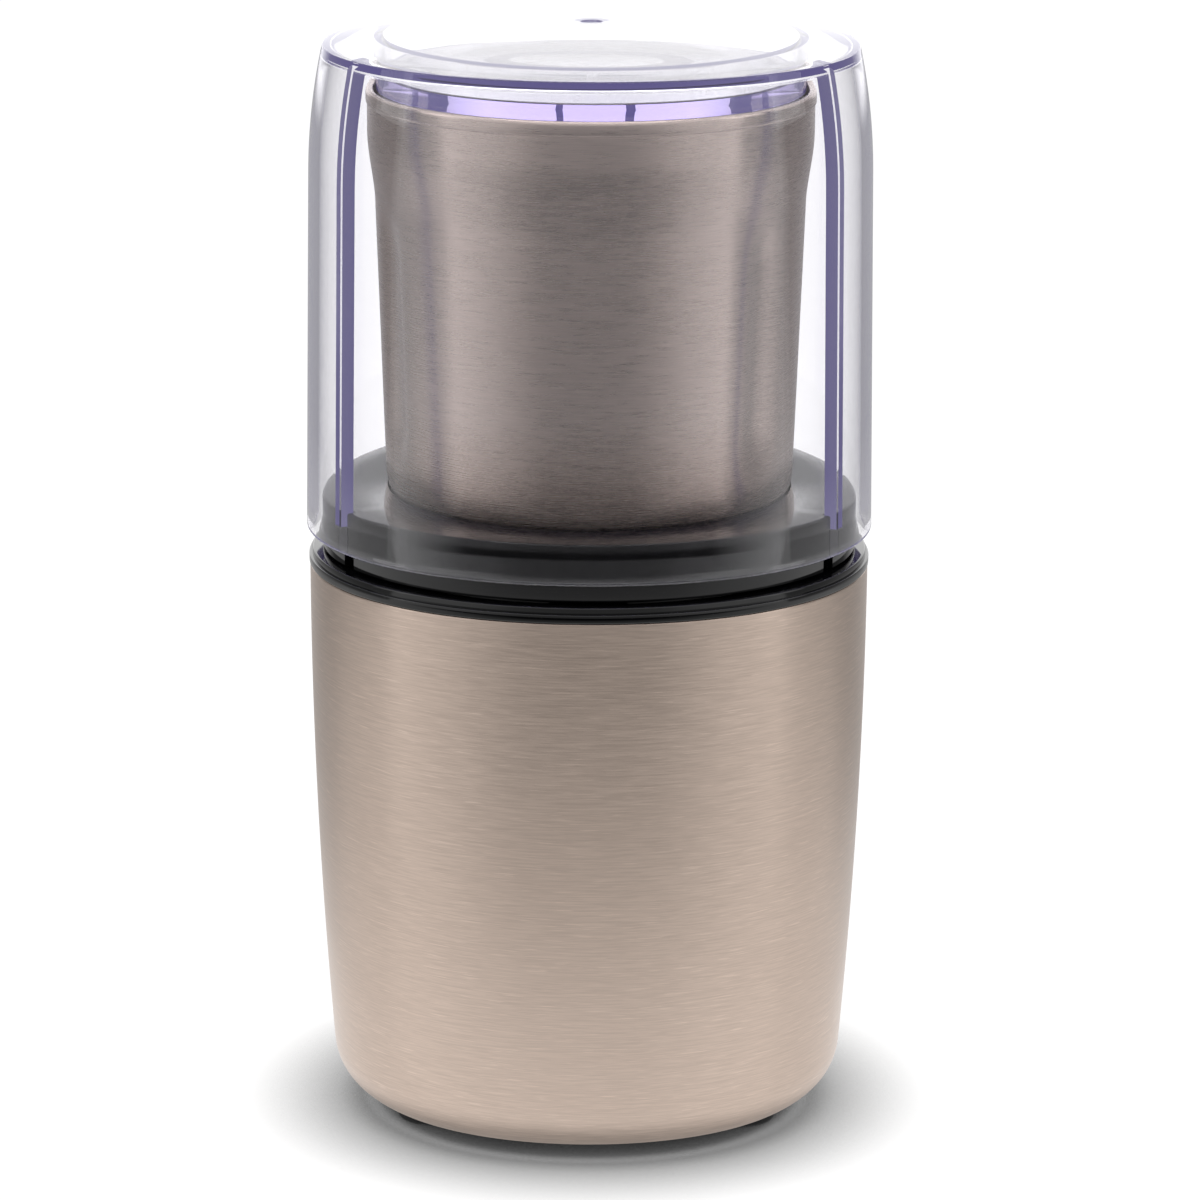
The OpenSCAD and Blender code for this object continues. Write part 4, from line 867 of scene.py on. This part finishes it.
finishes = {
    "shaft_steel": plain_metal("shaft_steel", (0.72, 0.73, 0.74), 0.22, 0.05, (80.0, 80.0, 2600.0)),
    "screw_steel": plain_metal("screw_steel", (0.60, 0.60, 0.62), 0.32),
    "nut_steel": plain_metal("nut_steel", (0.66, 0.66, 0.68), 0.20),
    "blade_steel": brushed_steel("blade_steel", (0.62, 0.62, 0.63), (0.78, 0.78, 0.79), 0.24, 0.3, 1.4, 0.6, 0.2),
    "bracket_metal": plain_metal("bracket_metal", (0.62, 0.61, 0.58), 0.45, 0.08, (900.0, 900.0, 900.0), 0.3),
    "lamination_steel": plain_metal("lamination_steel", (0.36, 0.37, 0.39), 0.42, 0.1, (20.0, 20.0, 4000.0), 0.5),
    "coil_copper": plain_metal("coil_copper", (0.60, 0.27, 0.10), 0.33, 0.15, (40.0, 40.0, 2500.0), 0.6),
    "commutator_copper": plain_metal("commutator_copper", (0.72, 0.42, 0.24), 0.28, 0.1, (60.0, 60.0, 2500.0)),
    "bearing_bronze": plain_metal("bearing_bronze", (0.60, 0.43, 0.22), 0.38, 0.1, (1500.0, 1500.0, 1500.0), 0.3),
    "spring_steel": plain_metal("spring_steel", (0.70, 0.71, 0.73), 0.2),
    "base_black": base_black,
    "foot_rubber": foot_rubber,
    "gland_black": matt_plastic("gland_black", (0.02, 0.02, 0.021), 0.6, 0.3),
    "mount_rubber": matt_plastic("mount_rubber", (0.03, 0.03, 0.032), 0.75, 0.3),
    "holder_brown": matt_plastic("holder_brown", (0.16, 0.08, 0.04), 0.5),
    "carbon": matt_plastic("carbon", (0.03, 0.03, 0.032), 0.6),
    "switch_black": matt_plastic("switch_black", (0.03, 0.032, 0.04), 0.45),
    "capacitor_yellow": matt_plastic("capacitor_yellow", (0.72, 0.48, 0.06), 0.4),
    "fan_grey": matt_plastic("fan_grey", (0.06, 0.065, 0.075), 0.5),
    "coupling_black": matt_plastic("coupling_black", (0.02, 0.02, 0.023), 0.45),
    "rod_white": matt_plastic("rod_white", (0.72, 0.72, 0.68), 0.4, 0.15),
    "button_red": matt_plastic("button_red", (0.55, 0.06, 0.04), 0.4, 0.15),
    "collar_base_black": matt_plastic("collar_base_black", (0.022, 0.022, 0.025), 0.42),
    "gasket_red": matt_plastic("gasket_red", (0.48, 0.07, 0.04), 0.6, 0.2),
    "hub_black": gloss_plastic("hub_black", (0.02, 0.02, 0.022), 0.2),
    "pin_black": gloss_plastic("pin_black", (0.016, 0.015, 0.022), 0.12),
    "washer_white": matt_plastic("washer_white", (0.78, 0.75, 0.68), 0.4, 0.15),
}
for entry in frame["record"]["subparts"]:
    node, slot_name = nodes[entry["node"]], entry["material_slot"]
    if slot_name in finishes and not node.hide_render:
        node.data.materials.clear()
        node.data.materials.append(finishes[slot_name])
print("finishes on the frame's pieces:", len(finishes))

# %% [markdown]
# ## Springs
# A spring is a wire on a helix. The tree below makes the helix, sweeps a round profile along it and sets its
# finish, so a spring is four numbers. Half the wire's thickness is left free at both ends, so that the spring
# stays inside its room.

# %% The tree that makes a spring
def make_spring_tree():
    tree = bpy.data.node_groups.new("coil_spring", "GeometryNodeTree")
    face = tree.interface
    for name in ("Turns", "Radius", "Wire", "Height"):
        face.new_socket(name, in_out="INPUT", socket_type="NodeSocketFloat")
    face.new_socket("Finish", in_out="INPUT", socket_type="NodeSocketMaterial")
    face.new_socket("Geometry", in_out="OUTPUT", socket_type="NodeSocketGeometry")
    turns, radius, wire, height, finish = add_node(tree, "NodeGroupInput").outputs[:5]
    free = math_node(tree, "SUBTRACT", height, wire)
    half_wire = math_node(tree, "MULTIPLY", wire, 0.5)
    spiral = add_node(tree, "GeometryNodeCurveSpiral")
    spiral.inputs["Resolution"].default_value = 40
    tree.links.new(turns, spiral.inputs["Rotations"])
    for name in ("Start Radius", "End Radius"):
        tree.links.new(radius, spiral.inputs[name])
    tree.links.new(free, spiral.inputs["Height"])
    profile = add_node(tree, "GeometryNodeCurvePrimitiveCircle", in_0=12)
    tree.links.new(half_wire, profile.inputs["Radius"])
    swept = add_node(tree, "GeometryNodeCurveToMesh", in_0=spiral.outputs[0], in_1=profile.outputs[0])
    swept.inputs["Fill Caps"].default_value = True
    lift = add_node(tree, "ShaderNodeCombineXYZ", in_2=half_wire)
    placed = add_node(tree, "GeometryNodeTransform", in_0=swept.outputs[0])
    tree.links.new(lift.outputs[0], placed.inputs["Translation"])
    real = add_node(tree, "GeometryNodeRealizeInstances", in_0=placed.outputs[0])
    coated = add_node(tree, "GeometryNodeSetMaterial", in_0=real.outputs[0])
    tree.links.new(finish, coated.inputs["Material"])
    tree.links.new(coated.outputs[0], add_node(tree, "NodeGroupOutput").inputs[0])
    return tree


spring_tree = make_spring_tree()


def spring(name, places, low, high, radius, wire, turns):
    """One object with a spring at each (x, y) place, between two heights, in millimetres."""
    parts = []
    for place in places:
        obj = new_object(name, [(0, 0, 0)])
        modifier = obj.modifiers.new("spring", "NODES")
        modifier.node_group = spring_tree
        sizes = {"Turns": turns, "Radius": radius * MM, "Wire": wire * MM, "Height": (high - low) * MM}
        for socket, value in {**sizes, "Finish": finishes["spring_steel"]}.items():
            modifier[socket_id(spring_tree, socket)] = value
        applied(obj)
        obj.data.transform(Matrix.Translation(Vector((*place, low)) * MM))
        parts.append(obj)
    joined = bmesh.new()
    for obj in parts:
        joined.from_mesh(obj.data)
    joined.to_mesh(parts[0].data)
    joined.free()
    for obj in parts[1:]:
        bpy.data.objects.remove(obj)
    return tidy(parts[0], 40, recalculate=False)


# %% Springs under the pins and under the switch rod
def span(node):
    return bottom_of(node), top_of(node)


pin_low, pin_high = span("pin_springs")
pin_coils = spring("pin_coils", [at(turn, rod_place) for turn in CORNERS], pin_low, pin_high, 2.6, 0.6, 4.5)
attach(pin_coils, "bowl")
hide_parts("pin_springs")
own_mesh(pin_coils)
rod_low, rod_high = span("switch_spring")
rod_coil = spring("rod_coil", [at(rod_turn, rod_place)], rod_low, rod_high, 2.9, 0.5, 5.5)
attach(rod_coil, "base")
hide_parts("switch_spring")
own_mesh(rod_coil)
print("springs:", len(pin_coils.data.polygons) + len(rod_coil.data.polygons), "faces")

# %% [markdown]
# ## Floor, room and lights
# The grinder stands on a white sheet in a pale room. Steel shows what stands round it, so the room is part of
# its finish. White walls at both sides make the two wide light bands on the body. In front, behind the
# camera, the room is darker, and that makes the dark band between them. One group gives how bright the room
# is in a direction and at a distance. The floor and the walls both use it, for reflections only. Turn runs
# from 0 in front to 1 behind, and away is the distance along the floor in metres.

# %% How bright the room is, all round
def curve_of(tree, value, points):
    """A float curve through (place, value) points."""
    curve = add_node(tree, "ShaderNodeFloatCurve", in_1=value)
    line = curve.mapping.curves[0]
    line.points[0].location, line.points[1].location = points[0], points[-1]
    for x, height in points[1:-1]:
        line.points.new(x, height)
    curve.mapping.update()
    return curve.outputs[0]


def blend_numbers(tree, factor, a, b):
    """a where the factor is 0, b where it is 1."""
    return add_node(tree, "ShaderNodeMix", data_type="FLOAT", in_0=factor, in_2=a, in_3=b).outputs[0]


near_levels = [(0.0, 0.42), (0.06, 0.50), (0.14, 0.68), (0.27, 0.86), (0.46, 1.0), (0.60, 0.96)]
near_levels += [(0.80, 0.56), (1.0, 0.56)]
far_levels = [(0.0, 0.42), (0.03, 0.46), (0.09, 0.75), (0.18, 0.95), (0.30, 1.0), (0.40, 1.0), (0.42, 0.34)]
far_levels += [(0.80, 0.34), (1.0, 0.50)]
foot_level, back_level, dark_share = 1.2, 1.7, 0.96


def make_room_group():
    tree = bpy.data.node_groups.new("room_brightness", "ShaderNodeTree")
    tree.interface.new_socket("Direction", in_out="INPUT", socket_type="NodeSocketVector")
    tree.interface.new_socket("Distance", in_out="INPUT", socket_type="NodeSocketFloat")
    tree.interface.new_socket("Brightness", in_out="OUTPUT", socket_type="NodeSocketFloat")
    direction, away = add_node(tree, "NodeGroupInput").outputs[:2]
    flat = add_node(tree, "ShaderNodeVectorMath", operation="MULTIPLY", in_0=direction, in_1=(1.0, 1.0, 0.0))
    unit = add_node(tree, "ShaderNodeVectorMath", operation="NORMALIZE", in_0=flat.outputs[0])
    turn = remap(tree, add_node(tree, "ShaderNodeSeparateXYZ", in_0=unit.outputs[0]).outputs[1], -1.0, 1.0)
    near, far = curve_of(tree, turn, near_levels), curve_of(tree, turn, far_levels)
    base = blend_numbers(tree, remap(tree, away, 0.42, 0.60), near, far)
    spot = blend_numbers(tree, remap(tree, away, 0.09, 0.26), foot_level, base)
    band_end = remap(tree, away, 0.74, 0.64)
    band = math_node(tree, "MULTIPLY", remap(tree, away, 0.27, 0.42), band_end)
    front = remap(tree, turn, 0.03, 0.20, 1.0, 0.0)
    narrow = math_node(tree, "MULTIPLY", math_node(tree, "MULTIPLY", band, front), dark_share)
    strip = math_node(tree, "MULTIPLY", remap(tree, away, 0.43, 0.50), band_end)
    wide = math_node(tree, "MULTIPLY", strip, remap(tree, turn, 0.14, 0.36, dark_share, 0.0))
    dim = math_node(tree, "MAXIMUM", narrow, wide)
    level = math_node(tree, "MULTIPLY", spot, math_node(tree, "SUBTRACT", 1.0, dim))
    behind = math_node(tree, "MULTIPLY", remap(tree, turn, 0.90, 0.97), remap(tree, away, 1.5, 1.9))
    end = blend_numbers(tree, behind, level, back_level)
    tree.links.new(end, add_node(tree, "NodeGroupOutput").inputs[0])
    return tree


room_group = make_room_group()
print("room group:", len(room_group.nodes), "nodes")

# %% [markdown]
# The camera sees the floor as a white sheet that glows by itself and darkens only close under the grinder,
# where ambient occlusion makes the contact shadow. Light that has been mirrored sees the room group instead,
# with a painted shadow under the body, and light that has passed through the lid sees a sheet that is a little
# brighter.

# %% Floor
half = 6.0
sheet_corners = [(-half, -half, 0), (half, -half, 0), (half, half, 0), (-half, half, 0)]
floor = new_object("floor", sheet_corners, [(0, 1, 2, 3)])
white = (1.0, 1.0, 1.0, 1.0)
shadow_reach, shadow_power, sheet_glow, sheet_tone = 0.020, 1.3, 0.90, 0.22
floor_white = bpy.data.materials.new("floor_white")
floor_white.use_nodes = True
tree = floor_white.node_tree
tree.nodes.clear()
place = add_node(tree, "ShaderNodeTexCoord").outputs["Object"]
path = add_node(tree, "ShaderNodeLightPath").outputs
open_sky = add_node(tree, "ShaderNodeAmbientOcclusion", samples=8, in_1=shadow_reach).outputs["AO"]
open_sky = math_node(tree, "POWER", open_sky, shadow_power)
reach = add_node(tree, "ShaderNodeVectorMath", operation="LENGTH", in_0=place).outputs["Value"]
brightness = add_node(tree, "ShaderNodeGroup", node_tree=room_group, in_0=place, in_1=reach).outputs[0]
# In reflections the floor within about 50 mm of the middle is painted darker, as a painted shadow under the body.
mirrored = math_node(tree, "MULTIPLY", brightness, remap(tree, reach, 0.046, 0.053, 0.4, 1.0))
seen = math_node(tree, "MAXIMUM", path["Is Camera Ray"], path["Is Transmission Ray"])
through = math_node(tree, "MULTIPLY", path["Is Transmission Ray"], 0.2)
glow = math_node(tree, "MULTIPLY", open_sky, math_node(tree, "ADD", through, sheet_glow))
glow = math_node(tree, "MULTIPLY", seen, glow)
tone = math_node(tree, "MULTIPLY", open_sky, sheet_tone)
colour = add_node(tree, "ShaderNodeCombineColor", in_0=tone, in_1=tone, in_2=tone).outputs[0]
sheet = add_node(tree, "ShaderNodeBsdfDiffuse", in_0=colour)
shine = add_node(tree, "ShaderNodeEmission", in_0=white, in_1=glow)
lit = add_node(tree, "ShaderNodeAddShader", in_0=sheet.outputs[0], in_1=shine.outputs[0])
mirror = add_node(tree, "ShaderNodeEmission", in_0=white, in_1=mirrored)
in_metal = math_node(tree, "GREATER_THAN", path["Glossy Depth"], 0.5)
both = add_node(tree, "ShaderNodeMixShader", in_0=in_metal, in_1=lit.outputs[0], in_2=mirror.outputs[0])
tree.links.new(both.outputs[0], add_node(tree, "ShaderNodeOutputMaterial").inputs[0])
floor.data.materials.append(floor_white)
print("floor:", len(tree.nodes), "nodes in its finish")

# %% [markdown]
# The room is the world. The camera sees it plain white, and it lights the grinder at half that level. In
# mirrored light it has the group's brightness low down and a pale ceiling above. Light that left the clear
# lid first meets an even, pale wall, so that the lid's skins don't show the dark front band.

# %% Room
wall_distance, wall_level, ceiling_level, plain_light, lid_extra = 2.0, 0.9, 1.2, 0.50, 0.22
world = bpy.data.worlds.new("room")
bpy.context.scene.world = world
world.use_nodes = True
tree = world.node_tree
tree.nodes.clear()
path = add_node(tree, "ShaderNodeLightPath").outputs
direction = add_node(tree, "ShaderNodeTexCoord").outputs["Generated"]
brightness = add_node(tree, "ShaderNodeGroup", node_tree=room_group, in_0=direction, in_1=wall_distance).outputs[0]
height = add_node(tree, "ShaderNodeSeparateXYZ", in_0=direction).outputs[2]
through_lid = math_node(tree, "GREATER_THAN", path["Transmission Depth"], 0.5)
upper_wall = blend_numbers(tree, through_lid, brightness, wall_level)
low_wall = blend_numbers(tree, remap(tree, height, 0.19, 0.24), brightness, upper_wall)
mirrored = blend_numbers(tree, remap(tree, height, 0.42, 0.85), low_wall, ceiling_level)
in_metal = math_node(tree, "GREATER_THAN", path["Glossy Depth"], 0.5)
seen = math_node(tree, "MAXIMUM", path["Is Camera Ray"], path["Is Transmission Ray"])
plain_level = remap(tree, seen, 0.0, 1.0, plain_light, 1.0)
extra = math_node(tree, "MULTIPLY", path["Is Transmission Ray"], lid_extra)
strength = blend_numbers(tree, in_metal, math_node(tree, "ADD", plain_level, extra), mirrored)
room = add_node(tree, "ShaderNodeBackground", in_0=white, in_1=strength)
tree.links.new(room.outputs[0], add_node(tree, "ShaderNodeOutputWorld").inputs[0])
print("room:", len(tree.nodes), "nodes")

# %% [markdown]
# Three soft boxes give the light a direction: a weak one at each side, which draws the upright edges, and a
# wider one above. They are large and near, so their shadows are soft.

# %% Soft boxes
def soft_box(name, place, aim, size, power):
    data = bpy.data.lights.new(name, "AREA")
    data.shape, data.size, data.size_y = "RECTANGLE", size[0], size[1]
    data.energy = power
    obj = bpy.data.objects.new(name, data)
    bpy.context.scene.collection.objects.link(obj)
    direction = Vector(place) - Vector(aim)
    obj.matrix_world = Matrix.Translation(place) @ direction.to_track_quat("Z", "Y").to_matrix().to_4x4()
    return obj


soft_box("left_box", (-1.3, -0.15, 0.75), (0, 0, 0.10), (0.5, 1.1), 1.6)
soft_box("right_box", (1.3, -0.15, 0.75), (0, 0, 0.10), (0.5, 1.1), 1.6)
soft_box("top_box", (0.0, 0.30, 1.6), (0, 0, 0.1), (1.2, 1.0), 7.0)
bpy.context.scene.view_settings.view_transform = "Standard"
